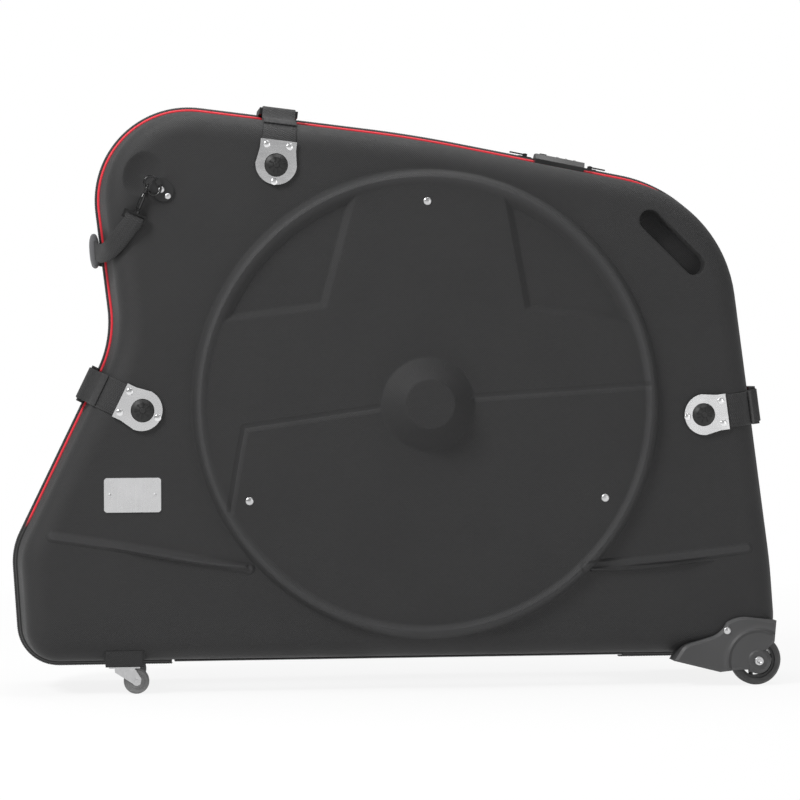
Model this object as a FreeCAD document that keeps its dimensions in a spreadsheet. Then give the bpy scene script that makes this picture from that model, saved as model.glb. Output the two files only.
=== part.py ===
import FreeCAD, Part
import math
import os

import Sketcher
from FreeCAD import Placement, Rotation, Vector

# Bike travel case: two moulded half shells that fold out from a rigid base panel.
# Millimetres. +Z is up, +X points at the end with the fixed wheels, the near half is at -Y.
# The origin is on the floor under the middle of the case.

# Driving sizes

SIZES = {
    # corners of the side outline before rounding, and the radius of each
    "base_height": 42,
    "front_foot_x": -567.5,
    "front_foot_round": 56,
    "front_knee_x": -578.5,
    "front_knee_z": 212,
    "front_knee_round": 95,
    "front_waist_x": -426.5,
    "front_waist_z": 526,
    "front_waist_round": 174,
    "front_brow_x": -470.5,
    "front_brow_z": 893,
    "front_brow_round": 136,
    "top_break_x": 26.5,
    "top_break_z": 834,
    "top_break_round": 2000,
    "rear_shoulder_x": 498.5,
    "rear_shoulder_z": 744,
    "rear_shoulder_round": 209,
    "rear_hip_x": 571.5,
    "rear_hip_z": 185,
    "rear_hip_round": 800,
    "rear_foot_x": 581.5,
    "rear_foot_round": 62,
    # half shells
    "half_depth": 118,
    "rim_depth": 12,
    "shell_wall": 5,
    "draft_angle": 6,
    "face_round": 36,
    # wheel relief on each face
    "disc_x": 34.5,
    "disc_z": 429,
    "disc_radius": 352,
    "disc_rise": 9,
    "crest_radius": 339,
    "crest_rise": 14,
    "crest_inner_radius": 322,
    "boss_base_radius": 70,
    "boss_top_radius": 37,
    "boss_rise": 27,
    "sector_depth": 6,
    "disc_plate_inset": 21,
    "disc_plate_thick": 2,
    "sector_slope": 60,
    "column_left_x": -66.5,
    "column_left_foot_x": -117.5,
    "column_right_x": 146.5,
    "column_right_foot_x": 181.5,
    "column_top_z": 760,
    "shelf_left_z": 552,
    "shelf_left_foot_z": 572,
    "shelf_right_z": 549,
    "shelf_right_foot_z": 568,
    "shelf_side": 309,
    # swept ribs low on each face
    "rib_width": 13,
    "rib_rise": 5,
    "rib_left_tip_x": -521.5,
    "rib_left_tip_z": 241,
    "rib_left_root_x": -233.5,
    "rib_left_root_z": 188,
    "rib_left_bow": 1600,
    "rib_right_tip_x": 530.5,
    "rib_right_tip_z": 200,
    "rib_right_root_x": 276.5,
    "rib_right_root_z": 178,
    "rib_right_bow": 1400,
    # grip recess and thumb dimple
    "grip_x": 407.5,
    "grip_z": 671,
    "grip_tilt": -44.5,
    "grip_run": 95,
    "grip_radius": 16,
    "grip_depth": 28,
    "dimple_x": -389.5,
    "dimple_z": 772,
    "dimple_radius": 34,
    "dimple_depth": 9,
    # foot pads for the swivel casters
    "foot_pad_width": 56,
    "foot_pad_depth": 50,
    "foot_pad_height": 24,
    # zip and piping
    "piping_depth": 5,
    "piping_proud": 2.5,
    "piping_inset": 3,
    "coil_gap": 1,
    "coil_depth": 4,
    "coil_proud": 5,
    "tape_proud": 2.2,
    "zip_inset": 2,
    # base panel
    "panel_length": 684,
    "panel_centre_x": 0,
    "panel_thick": 6,
    "hinge_spread": 50,
    "hinge_margin": 6,
    "hinge_bead_radius": 1.8,
    "strip_thick": 2,
    "panel_gap": 3,
    # rail and bike mounts inside
    "rail_length": 520,
    "rail_width": 40,
    "rail_height": 20,
    "rail_wall": 2.5,
    "fork_mount_x": -225,
    "fork_mount_height": 92,
    "fork_mount_width": 34,
    "fork_barrel_radius": 11,
    "skewer_nut_radius": 8,
    "fork_spacing": 100,
    "skewer_radius": 2.5,
    "lever_eye_radius": 5,
    "lever_pin_radius": 2,
    "lever_width": 13,
    "lever_length": 46,
    "cradle_x": 95,
    "cradle_height": 70,
    "cradle_length": 60,
    "cradle_radius": 21,
    # fixed wheels
    "wheel_x": 536.5,
    "wheel_inset": 13,
    "wheel_radius": 38,
    "wheel_width": 24,
    "rim_radius": 28,
    "axle_radius": 4,
    "wheel_clearance": 4,
    "housing_proud": 9,
    "housing_wall": 3,
    # swivel casters
    "caster_x": -418.5,
    "caster_inset": 30,
    "caster_radius": 19,
    "caster_width": 16,
    "caster_trail": 18,
    "caster_plate": 2.5,
    "fork_sheet": 2,
    # compression straps
    "webbing_width": 50,
    "webbing_thick": 2,
    "webbing_gap": 0.3,
    "top_strap_x": -182,
    "top_plate_reach": 74,
    "front_strap_z": 456,
    "front_plate_reach": 78,
    "rear_strap_z": 422,
    "rear_plate_reach": 87,
    "plate_radius": 31,
    "plate_hole_radius": 17.5,
    "plate_thick": 2,
    "bumper_flange_radius": 22,
    "plate_length": 37,
    "rivet_head": 2.2,
    "buckle_length": 40,
    "buckle_height": 10,
    "buckle_lift": 6.2,
    "buckle_wall": 2.5,
    "prong_length": 18,
    "prong_play": 1.4,
    # name plate
    "tag_x": -405.5,
    "tag_z": 297,
    "tag_width": 84,
    "tag_height": 51,
    "tag_thick": 1.5,
    # combination lock on the zip
    "lock_x": 250.5,
    "lock_length": 77,
    "lock_height": 13,
    "lock_width": 28,
    "dial_radius": 6.5,
    "dial_width": 5,
    "dial_pitch": 13.5,
    "dial_shift": 10,
    "slider_length": 20,
    "pull_length": 24,
    # haul strap over the front edge
    "haul_x": -442.5,
    "haul_z": 662,
    "haul_angle": 184,
    "haul_width": 28,
    "haul_lift": 16,
    "sleeve_width": 50,
    "sleeve_thick": 15,
    "sleeve_length": 92,
    "haul_plate_x": -360,
    "haul_plate_z": 748,
    "haul_plate_run": 6,
    "haul_plate_radius": 15,
    "haul_plate_thick": 3,
    "haul_ring_angle": 207,
    "haul_ring_run": 9,
    "haul_ring_radius": 10,
    "haul_wire": 1.7,
    "hook_eye": 7,
    "hook_neck": 30,
    "hook_angle": 247,
    # padded divider
    "divider_inset": 44,
    "divider_depth": 60,
    "divider_thick": 8,
}

doc = FreeCAD.newDocument("BikeTravelCase")
sheet = doc.addObject("Spreadsheet::Sheet", "Sizes")
for row, (name, number) in enumerate(SIZES.items(), start=1):
    sheet.set(f"A{row}", name)
    sheet.set(f"B{row}", str(number))
    sheet.setAlias(f"B{row}", name)
doc.recompute()


# A size carries its number and the sheet expression that gives it, so that arithmetic on sizes
# ends up in the document.


class Size:
    def __init__(self, value, text=None):
        self.value = float(value)
        self.text = text or f"({self.value!r})"

    def __add__(self, other):
        other = as_size(other)
        return Size(self.value + other.value, f"({self.text} + {other.text})")

    def __sub__(self, other):
        other = as_size(other)
        return Size(self.value - other.value, f"({self.text} - {other.text})")

    def __mul__(self, other):
        other = as_size(other)
        return Size(self.value * other.value, f"({self.text} * {other.text})")

    def __truediv__(self, other):
        other = as_size(other)
        return Size(self.value / other.value, f"({self.text} / {other.text})")

    def __radd__(self, other):
        return as_size(other) + self

    def __rsub__(self, other):
        return as_size(other) - self

    def __rmul__(self, other):
        return as_size(other) * self

    def __neg__(self):
        return Size(-self.value, f"(-{self.text})")


def as_size(item):
    return item if isinstance(item, Size) else Size(item)


def sine(angle):
    angle = as_size(angle)
    return Size(math.sin(math.radians(angle.value)), f"sin({angle.text})")


def cosine(angle):
    angle = as_size(angle)
    return Size(math.cos(math.radians(angle.value)), f"cos({angle.text})")


def direction(across, up):
    """Angle in degrees of a line that runs across and up."""
    across, up = as_size(across), as_size(up)
    angle = math.degrees(math.atan2(up.value, across.value))
    return Size(angle, f"atan2({up.text}; {across.text})")


class Sheet:
    def __getattr__(self, name):
        return Size(SIZES[name], "Sizes." + name)


s = Sheet()


def bind(item, prop, size):
    item.setExpression(prop, as_size(size).text)


# Sketches


def new_body(name):
    body = doc.addObject("PartDesign::Body", name)
    body.AllowCompound = True
    return body


def new_sketch(body, name, role, offset=(0, 0, 0), turn=None):
    """A sketch on one of the body's own origin planes, shifted in the plane's own axes."""
    sketch = body.newObject("Sketcher::SketchObject", name)
    plane = [item for item in body.Origin.OriginFeatures if item.Role == role][0]
    sketch.AttachmentSupport = [(plane, "")]
    sketch.MapMode = "FlatFace"
    turned = as_size(turn or 0)
    shift = Vector(*[as_size(item).value for item in offset])
    sketch.AttachmentOffset = Placement(shift, Rotation(Vector(0, 0, 1), turned.value or 1))
    for axis, item in zip("xyz", offset):
        bind(sketch, "AttachmentOffset.Base." + axis, item)
    bind(sketch, "AttachmentOffset.Rotation.Angle", turned)
    return sketch


def fix_point(sketch, geo, pos, x, y):
    for kind, item in (("DistanceX", x), ("DistanceY", y)):
        item = as_size(item)
        index = sketch.addConstraint(Sketcher.Constraint(kind, -1, 1, geo, pos, item.value))
        sketch.setExpression(f"Constraints[{index}]", item.text)


def fix_radius(sketch, geo, radius):
    index = sketch.addConstraint(Sketcher.Constraint("Radius", geo, radius.value))
    sketch.setExpression(f"Constraints[{index}]", radius.text)


def arc_between(first, last, radius):
    """The short arc from first to last, turning left for a positive radius, right for a negative one."""
    middle = (first + last) / 2
    half = (last - first) / 2
    rise = math.sqrt(max(radius * radius - half.Length**2, 0))
    side = Vector(-half.y, half.x, 0).normalize() * (rise if radius > 0 else -rise)
    centre = middle + side
    begin, finish = (first, last) if radius > 0 else (last, first)
    start = math.atan2(begin.y - centre.y, begin.x - centre.x)
    stop = math.atan2(finish.y - centre.y, finish.x - centre.x)
    if stop < start:
        stop += 2 * math.pi
    return Part.ArcOfCircle(Part.Circle(centre, Vector(0, 0, 1), abs(radius)), start, stop)


def add_outline(sketch, points, arcs=None):
    """A closed outline through the points. arcs maps the number of a side to its signed radius."""
    arcs = arcs or {}
    places = [Vector(as_size(x).value, as_size(y).value, 0) for x, y in points]
    count = len(places)
    ends = []
    for side in range(count):
        first, last = places[side], places[(side + 1) % count]
        if side in arcs:
            radius = as_size(arcs[side])
            geo = sketch.addGeometry(arc_between(first, last, radius.value))
            ends.append((geo, 1, 2) if radius.value > 0 else (geo, 2, 1))
        else:
            geo = sketch.addGeometry(Part.LineSegment(first, last))
            ends.append((geo, 1, 2))
    for side in range(count):
        geo, start, _ = ends[side]
        before, _, stop = ends[side - 1]
        sketch.addConstraint(Sketcher.Constraint("Coincident", before, stop, geo, start))
        fix_point(sketch, geo, start, *points[side])
    for side, radius in arcs.items():
        radius = as_size(radius)
        fix_radius(sketch, ends[side][0], radius if radius.value > 0 else -radius)


def add_rounded(sketch, corners, inset):
    """A polygon of corners (x, y, radius), every side moved inwards by inset, with tangent arcs.

    The corners run clockwise, and a corner that turns the other way gets its radius plus inset.
    """
    inset = as_size(inset)
    places = [Vector(x.value, y.value, 0) for x, y, _ in corners]
    count = len(places)
    along, inward = [], []
    for side in range(count):
        run = (places[(side + 1) % count] - places[side]).normalize()
        along.append(run)
        inward.append(Vector(run.y, -run.x, 0))
    rounds, tangents, centres = [], [], []
    for corner in range(count):
        before, after = along[corner - 1], along[corner]
        turn = before.x * after.y - before.y * after.x
        radius = as_size(corners[corner][2])
        radius = radius - inset if turn < 0 else radius + inset
        half = before.getAngle(after) / 2
        shift = inset.value / math.cos(half)
        split = (inward[corner - 1] + inward[corner]).normalize()
        tip = places[corner] + split * shift
        reach = radius.value * math.tan(half)
        side = 1 if turn < 0 else -1
        rounds.append(radius)
        tangents.append((tip - before * reach, tip + after * reach))
        centres.append(tip + split * (side * radius.value / math.cos(half)))
    arcs = []
    for corner in range(count):
        first, last = tangents[corner]
        turn = along[corner - 1].x * along[corner].y - along[corner - 1].y * along[corner].x
        radius = rounds[corner].value if turn > 0 else -rounds[corner].value
        geo = sketch.addGeometry(arc_between(first, last, radius))
        arcs.append((geo, 1, 2) if radius > 0 else (geo, 2, 1))
    lines = []
    for side in range(count):
        ends = tangents[side][1], tangents[(side + 1) % count][0]
        lines.append(sketch.addGeometry(Part.LineSegment(*ends)))
    points = [sketch.addGeometry(Part.Point(place), True) for place in places]
    for corner in range(count):
        fix_point(sketch, points[corner], 1, corners[corner][0], corners[corner][1])
        fix_radius(sketch, arcs[corner][0], rounds[corner])
        geo, start, stop = arcs[corner]
        sketch.addConstraint(Sketcher.Constraint("Tangent", lines[corner - 1], 2, geo, start))
        sketch.addConstraint(Sketcher.Constraint("Tangent", geo, stop, lines[corner], 1))
    for side in range(count):
        for point in (points[side], points[(side + 1) % count]):
            if inset.value == 0:
                sketch.addConstraint(Sketcher.Constraint("PointOnObject", point, 1, lines[side]))
                continue
            size = inset if inset.value > 0 else -inset
            item = Sketcher.Constraint("Distance", point, 1, lines[side], size.value)
            index = sketch.addConstraint(item)
            sketch.setExpression(f"Constraints[{index}]", size.text)


def add_circle(sketch, x, y, radius):
    radius = as_size(radius)
    centre = Vector(as_size(x).value, as_size(y).value, 0)
    geo = sketch.addGeometry(Part.Circle(centre, Vector(0, 0, 1), radius.value))
    fix_point(sketch, geo, 3, x, y)
    fix_radius(sketch, geo, radius)


def add_slot(sketch, run, radius):
    """A slot along the sketch's first axis, centred, with round ends run apart."""
    half, radius = as_size(run) / 2, as_size(radius)
    ends = []
    for sign in (1, -1):
        circle = Part.Circle(Vector(sign * half.value, 0, 0), Vector(0, 0, 1), radius.value)
        start = -math.pi / 2 if sign > 0 else math.pi / 2
        geo = sketch.addGeometry(Part.ArcOfCircle(circle, start, start + math.pi))
        fix_point(sketch, geo, 3, half * sign, 0)
        fix_radius(sketch, geo, radius)
        ends.append(geo)
    high, low = Vector(half.value, radius.value, 0), Vector(half.value, -radius.value, 0)
    top = sketch.addGeometry(Part.LineSegment(high, Vector(-high.x, high.y, 0)))
    base = sketch.addGeometry(Part.LineSegment(Vector(-low.x, low.y, 0), low))
    for joint in ((ends[0], 2, top, 1), (top, 2, ends[1], 1), (ends[1], 2, base, 1), (base, 2, ends[0], 1)):
        sketch.addConstraint(Sketcher.Constraint("Tangent", *joint))


def rectangle(left, low, right, high):
    return [(left, low), (right, low), (right, high), (left, high)]


# Features


def feature(body, kind, name, profile=None):
    item = body.newObject("PartDesign::" + kind, name)
    if profile:
        item.Profile = profile
    return item


def pad(body, sketch, length, taper=None, reverse=False):
    item = feature(body, "Pad", sketch.Name + "_pad", sketch)
    bind(item, "Length", length)
    item.Reversed = reverse
    if taper is not None:
        bind(item, "TaperAngle", taper)
    return item


def pocket(body, sketch, length, taper=None, reverse=False):
    item = feature(body, "Pocket", sketch.Name + "_pocket", sketch)
    bind(item, "Length", length)
    item.Reversed = reverse
    if taper is not None:
        bind(item, "TaperAngle", taper)
    return item


def revolve(body, sketch, groove=False, axis="V_Axis"):
    item = feature(body, "Groove" if groove else "Revolution", sketch.Name + "_turn", sketch)
    item.ReferenceAxis = (sketch, [axis])
    item.Angle = 360
    return item


def round_edges(body, name, radius, wanted, kind="Fillet"):
    """Rounds or chamfers the edges of the body's tip for which wanted(edge) is true."""
    doc.recompute()
    base = body.Tip
    names = [f"Edge{number}" for number, edge in enumerate(base.Shape.Edges, 1) if wanted(edge)]
    item = feature(body, kind, name)
    item.Base = (base, names)
    bind(item, "Radius" if kind == "Fillet" else "Size", radius)
    return item


def at_level(axis, level, reach=None):
    """Picks edges that lie wholly at a level on an axis, within reach of it if that is given."""

    def wanted(edge):
        box = edge.BoundBox
        low, high = (getattr(box, axis + end) for end in ("Min", "Max"))
        return abs(low - level) < 0.02 and abs(high - level) < 0.02 and (not reach or reach(edge))

    return wanted


# Solids made from primitives


def place(item, offset, turn=None):
    rotation = turn or Rotation()
    item.Placement = Placement(Vector(*[as_size(part).value for part in offset]), rotation)
    for axis, part in zip("xyz", offset):
        bind(item, "Placement.Base." + axis, part)
    return item


def new_box(name, low, size):
    item = doc.addObject("Part::Box", name)
    for prop, length in zip(("Length", "Width", "Height"), size):
        bind(item, prop, length)
    return place(item, low)


def new_cut(name, base, tool):
    item = doc.addObject("Part::Cut", name)
    item.Base = base
    item.Tool = tool
    item.Refine = True
    return item


def new_fuse(name, pieces):
    item = doc.addObject("Part::MultiFuse", name)
    item.Shapes = pieces
    item.Refine = True
    return item


def new_group(name, pieces):
    item = doc.addObject("Part::Compound", name)
    item.Links = pieces
    return item


def mirror(name, source):
    """The same piece on the other side of the parting plane."""
    item = doc.addObject("Part::Mirroring", name)
    item.Source = source
    item.Normal = Vector(0, 1, 0)
    return item


NODES = []


def keep(item, label=None):
    item.Label = label or item.Name
    NODES.append(item)
    return item


def keep_pair(item, label):
    """Keeps a piece of the near half and its mirror image on the far half."""
    keep(item, "near_" + label)
    keep(mirror("far_" + label, item))


def unite_at(body, x, z, angle=0):
    """Stands a body at a place on the side outline, turned in the plane of the case."""
    angle = as_size(angle)
    turn = Rotation(Vector(0, -1, 0), angle.value or 1)
    body.Placement = Placement(Vector(as_size(x).value, 0, as_size(z).value), turn)
    bind(body, "Placement.Base.x", x)
    bind(body, "Placement.Base.z", z)
    bind(body, "Placement.Rotation.Angle", angle)
    return body


# Side outline of the case, clockwise from the low front corner

CORNERS = [
    (s.front_foot_x, s.base_height, s.front_foot_round),
    (s.front_knee_x, s.front_knee_z, s.front_knee_round),
    (s.front_waist_x, s.front_waist_z, s.front_waist_round),
    (s.front_brow_x, s.front_brow_z, s.front_brow_round),
    (s.top_break_x, s.top_break_z, s.top_break_round),
    (s.rear_shoulder_x, s.rear_shoulder_z, s.rear_shoulder_round),
    (s.rear_hip_x, s.rear_hip_z, s.rear_hip_round),
    (s.rear_foot_x, s.base_height, s.rear_foot_round),
]
FRONT_SLANT = CORNERS[1], CORNERS[2]
TOP_FRONT = CORNERS[3], CORNERS[4]
TOP_REAR = CORNERS[4], CORNERS[5]
REAR_SIDE = CORNERS[5], CORNERS[6]


def on_side(side, x=None, z=None):
    """The point of a straight side at x or at z, and the side's direction in degrees."""
    (x0, z0, _), (x1, z1, _) = side
    if x is not None:
        point = x, z0 + (x - x0) * (z1 - z0) / (x1 - x0)
    else:
        point = x0 + (z - z0) * (x1 - x0) / (z1 - z0), z
    return point[0], point[1], direction(x1 - x0, z1 - z0)


# Half shells

LEAN = sine(s.draft_angle) / cosine(s.draft_angle)


def side_lean(depth):
    """How far the drafted side has moved in, at a depth from the parting plane."""
    return (depth - s.rim_depth) * LEAN


def shell_form(name, inset):
    """The solid form of a half shell, every wall moved inwards by inset."""
    inset = as_size(inset)
    outer = inset.value == 0
    face = s.half_depth - inset
    start = s.rim_depth if outer else s.rim_depth - 1
    body = new_body(name)
    rim = new_sketch(body, name + "_rim", "XZ_Plane", (0, 0, start))
    add_rounded(rim, CORNERS, inset)
    end = new_sketch(body, name + "_face", "XZ_Plane", (0, 0, face))
    add_rounded(end, CORNERS, inset + side_lean(face))
    walls = feature(body, "AdditiveLoft", name + "_walls", rim)
    walls.Sections = [end]
    walls.Ruled = True
    round_edges(body, name + "_face_round", s.face_round - inset, at_level("Y", -face.value))

    # wheel disc
    floor = -(face - 20)
    level = -(face + s.disc_rise)
    edge = s.disc_radius - inset
    disc = new_sketch(body, name + "_disc", "XY_Plane", (s.disc_x, 0, s.disc_z))
    add_outline(disc, rectangle(0, floor, s.crest_radius - inset, level))
    revolve(body, disc)

    # sunk fields each side of the column, with sloping banks
    grown = 1.6 * inset
    fields = {
        "left": (s.column_left_x, s.column_left_foot_x, s.shelf_left_z, s.shelf_left_foot_z, -1),
        "right": (s.column_right_x, s.column_right_foot_x, s.shelf_right_z, s.shelf_right_foot_z, 1),
    }
    for hand, (top_x, foot_x, side_z, foot_z, sign) in fields.items():
        sunk = new_sketch(body, f"{name}_{hand}_field", "XZ_Plane", (0, 0, -level))
        points = [
            (top_x - grown * sign, s.column_top_z),
            (foot_x - grown * sign, foot_z - grown),
            (s.disc_x + s.shelf_side * sign, side_z - grown),
        ]
        add_outline(sunk, points, {2: (s.crest_radius + 1) * sign})
        pocket(body, sunk, s.sector_depth, -s.sector_slope if outer else None)

    # raised rim round the disc
    if outer:
        crest = new_sketch(body, name + "_crest", "XY_Plane", (s.disc_x, 0, s.disc_z))
        bead = s.disc_radius - s.crest_radius
        points = [
            (s.crest_inner_radius - 4, -(face - 4)),
            (edge, -(face - 20)),
            (edge, -face),
            (s.crest_radius + bead * 0.45, -(face + s.crest_rise - 3)),
            (s.crest_radius, -(face + s.crest_rise)),
            (s.crest_inner_radius, -(face + s.disc_rise - s.sector_depth + 1)),
        ]
        add_outline(crest, points)
        revolve(body, crest)

    # hub boss
    cone = new_sketch(body, name + "_boss", "XY_Plane", (s.disc_x, 0, s.disc_z))
    lean = inset * 0.4
    top = level - s.boss_rise
    points = [
        (0, floor),
        (s.boss_base_radius - lean, floor),
        (s.boss_base_radius - lean, level),
        (s.boss_top_radius - lean, top),
        (0, top),
    ]
    add_outline(cone, points)
    revolve(body, cone)

    if outer:
        # swept ribs
        left_root = s.rib_left_root_x, s.rib_left_root_z
        left_tip = s.rib_left_tip_x, s.rib_left_tip_z
        right_root = s.rib_right_root_x, s.rib_right_root_z
        right_tip = s.rib_right_tip_x, s.rib_right_tip_z
        ribs = {
            "left": (left_root, left_tip, s.rib_left_bow, -1),
            "right": (right_root, right_tip, s.rib_right_bow, 1),
        }
        for hand, ((root_x, root_z), (tip_x, tip_z), bow, sign) in ribs.items():
            rib = new_sketch(body, f"{name}_{hand}_rib", "XZ_Plane", (0, 0, face - 3))
            half = s.rib_width / 2
            points = [
                (root_x, root_z - half),
                (tip_x, tip_z - half / 2),
                (tip_x, tip_z + half / 2),
                (root_x, root_z + half),
            ]
            add_outline(rib, points, {0: bow * sign, 2: -bow * sign})
            pad(body, rib, s.rib_rise + 3, -30)

        # flat pad that the caster screws to
        foot = new_sketch(body, name + "_foot", "XY_Plane", (0, 0, s.base_height))
        half = s.foot_pad_width / 2
        near, far = caster_depth() - s.foot_pad_depth / 2, caster_depth() + s.foot_pad_depth / 2
        add_outline(foot, rectangle(s.caster_x - half, -far, s.caster_x + half, -near))
        pad(body, foot, s.foot_pad_height)

    # grip recess
    place_on_face = s.grip_x, s.grip_z, s.half_depth + 1
    grip = new_sketch(body, name + "_grip", "XZ_Plane", place_on_face, s.grip_tilt)
    add_slot(grip, s.grip_run, s.grip_radius + inset)
    pocket(body, grip, s.grip_depth + 1 + inset)

    # dimple behind the strap ring
    sink = s.dimple_depth + inset
    ball = (s.dimple_radius * s.dimple_radius + s.dimple_depth * s.dimple_depth) / (2 * s.dimple_depth)
    centre = ball - s.dimple_depth + s.half_depth
    dimple = new_sketch(body, name + "_dimple", "XY_Plane", (s.dimple_x, 0, s.dimple_z))
    low = -(centre - ball - inset)
    flat = ball * 0.6
    side = ball + inset
    bend = Size(math.sqrt(side.value**2 - flat.value**2), f"sqrt({side.text} ^ 2 - {flat.text} ^ 2)")
    shoulder = -(centre - bend)
    points = [(0, low), (flat, shoulder), (flat, shoulder - 40), (0, low - 40 - sink)]
    add_outline(dimple, points, {0: -side})
    revolve(body, dimple, groove=True)

    # well for the fixed wheel
    well = new_sketch(body, name + "_well", "XZ_Plane", (0, 0, well_depth() - inset))
    left, top = well_left() - inset, well_top() + inset
    add_outline(well, rectangle(left, 0, s.rear_foot_x + 60, top))
    pocket(body, well, 200, reverse=True)
    return body


def wheel_depth():
    return s.half_depth - s.wheel_inset


def caster_depth():
    return s.half_depth - s.caster_inset


def well_depth():
    return wheel_depth() - s.wheel_width / 2 - s.wheel_clearance - s.housing_wall


def well_left():
    return s.wheel_x - s.wheel_radius - s.wheel_clearance - s.housing_wall


def well_top():
    return 2 * s.wheel_radius + s.wheel_clearance + s.housing_wall


def panel_left():
    return s.panel_centre_x - s.panel_length / 2


outer_form = shell_form("near_outer_form", 0)
core_form = shell_form("near_core_form", s.shell_wall)

notch = new_box(
    "panel_notch",
    (panel_left() - s.panel_gap, -(s.hinge_spread + s.hinge_margin), s.base_height - s.face_round),
    (s.panel_length + 2 * s.panel_gap, s.hinge_spread + s.hinge_margin, s.face_round + s.shell_wall + 20),
)
hollow = new_cut("near_hollow_shell", outer_form, core_form)
notched = new_cut("near_notched_shell", hollow, notch)

# The shell is a side band and a face pan that meet where the face starts to round over
axle_hole = new_body("near_axle_hole")
drill = new_sketch(axle_hole, "near_axle_drill", "XZ_Plane", (0, 0, 0))
add_circle(drill, s.wheel_x, s.wheel_radius, s.axle_radius + 0.3)
pad(axle_hole, drill, s.half_depth + s.face_round)
drilled = new_cut("near_drilled_shell", notched, axle_hole)
seam = s.half_depth - s.face_round
width = s.rear_foot_x - s.front_knee_x + 2 * s.face_round
height = s.front_brow_z + s.face_round
face_side = new_box(
    "near_face_side",
    (s.front_knee_x - s.face_round, -(s.half_depth + s.face_round), 0),
    (width, 2 * s.face_round, height),
)
keep_pair(new_cut("near_side_band", drilled, face_side), "side_band")
pan = doc.addObject("Part::Common", "near_face_pan")
pan.Base = drilled
pan.Tool = face_side
pan.Refine = True
keep_pair(pan, "face_pan")


# Places of the compression straps


def strap_places():
    """Each strap's place on the side outline with its angle, and how far in its plate's hole is."""
    return {
        "top": (on_side(TOP_FRONT, x=s.top_strap_x), s.top_plate_reach),
        "front": (on_side(FRONT_SLANT, z=s.front_strap_z), s.front_plate_reach),
        "rear": (on_side(REAR_SIDE, z=s.rear_strap_z), s.rear_plate_reach),
    }


STRAPS = strap_places()
plate_seat = s.half_depth + s.webbing_gap + s.webbing_thick + 0.1 + s.plate_thick


# Piping and zip, closed rings along the rim that stop at the base panel


def ring(name, layers, inset):
    """Layers of (start, length, outset) padded one behind another, with the middle cut out."""
    body = new_body(name)
    for number, (start, length, outset) in enumerate(layers):
        layer = new_sketch(body, f"{name}_layer{number}", "XZ_Plane", (0, 0, start))
        add_rounded(layer, CORNERS, -outset)
        pad(body, layer, length)
    inner = new_sketch(body, name + "_inner", "XZ_Plane", (0, 0, 0))
    add_rounded(inner, CORNERS, inset)
    pocket(body, inner, 40, reverse=True)
    return body


piping_start = s.rim_depth - s.piping_depth
piping = ring(
    "near_piping_ring",
    [
        (piping_start, 1.2, s.piping_proud - 1.2),
        (piping_start + 1.2, s.piping_depth - 2.4, s.piping_proud),
        (s.rim_depth - 1.2, 1.2, s.piping_proud - 1.2),
    ],
    s.piping_inset,
)
keep_pair(new_cut("near_piping", piping, notch), "piping")
coil_end = s.coil_gap + s.coil_depth
chain = ring(
    "near_zip_ring",
    [(s.coil_gap, s.coil_depth, s.coil_proud), (coil_end, piping_start - coil_end, s.tape_proud)],
    s.zip_inset,
)
keep_pair(new_cut("near_zip", chain, notch), "zip")


# Base panel, its two hinge strips and the rail that holds the bike


edge = s.hinge_spread - s.hinge_margin
panel = new_body("base_panel_board")
board = new_sketch(panel, "base_panel_outline", "XY_Plane", (0, 0, s.base_height))
add_outline(board, rectangle(panel_left(), -edge, panel_left() + s.panel_length, edge))
pad(panel, board, s.panel_thick)
keep(panel, "base_panel")

# Each hinge strip folds along a round bead on the hinge line
fold_z = s.base_height + s.panel_thick / 2
strip_width = 2 * s.hinge_margin - 1.5
strips = new_body("base_hinge_strips")
strip_section = new_sketch(strips, "base_hinge_strip_section", "YZ_Plane", (0, 0, panel_left()))
beads = new_sketch(strips, "base_hinge_bead_section", "YZ_Plane", (0, 0, panel_left()))
for sign in (-1, 1):
    first, last = edge * sign, (edge + strip_width) * sign
    left, right = (last, first) if sign < 0 else (first, last)
    half = s.strip_thick / 2
    add_outline(strip_section, rectangle(left, fold_z - half, right, fold_z + half))
    add_circle(beads, s.hinge_spread * sign, fold_z, s.hinge_bead_radius)
pad(strips, strip_section, s.panel_length)
pad(strips, beads, s.panel_length)
keep(strips)

rail_low = s.base_height + s.panel_thick
rail = new_body("base_rail")
section = new_sketch(rail, "base_rail_section", "YZ_Plane", (0, 0, s.panel_centre_x - s.rail_length / 2))
half = s.rail_width / 2
add_outline(section, rectangle(-half, rail_low, half, rail_low + s.rail_height))
inner = half - s.rail_wall
add_outline(section, rectangle(-inner, rail_low + s.rail_wall, inner, rail_low + s.rail_height - s.rail_wall))
pad(rail, section, s.rail_length)
keep(rail)
top = rail_low + s.rail_height

mount = new_body("fork_mount")
upright = new_sketch(mount, "fork_mount_side", "XZ_Plane", (0, 0, -s.fork_mount_width / 2))
foot = s.fork_mount_width
toe = s.fork_barrel_radius * 0.55
waist = s.fork_barrel_radius * 1.09
points = [
    (s.fork_mount_x - foot, top),
    (s.fork_mount_x + foot, top),
    (s.fork_mount_x + foot, top + toe),
    (s.fork_mount_x + waist, top + foot / 2),
    (s.fork_mount_x + s.fork_barrel_radius, top + s.fork_mount_height),
    (s.fork_mount_x - s.fork_barrel_radius, top + s.fork_mount_height),
    (s.fork_mount_x - waist, top + foot / 2),
    (s.fork_mount_x - foot, top + toe),
]
add_outline(upright, points, {4: s.fork_barrel_radius * 1.02})
pad(mount, upright, s.fork_mount_width)
axle_z = top + s.fork_mount_height
barrel = new_sketch(mount, "fork_mount_barrel", "XZ_Plane", (0, 0, -s.fork_spacing / 2))
add_circle(barrel, s.fork_mount_x, axle_z, s.fork_barrel_radius)
pad(mount, barrel, s.fork_spacing)
bore = new_sketch(mount, "fork_mount_bore", "XZ_Plane", (0, 0, -s.fork_spacing))
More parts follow.
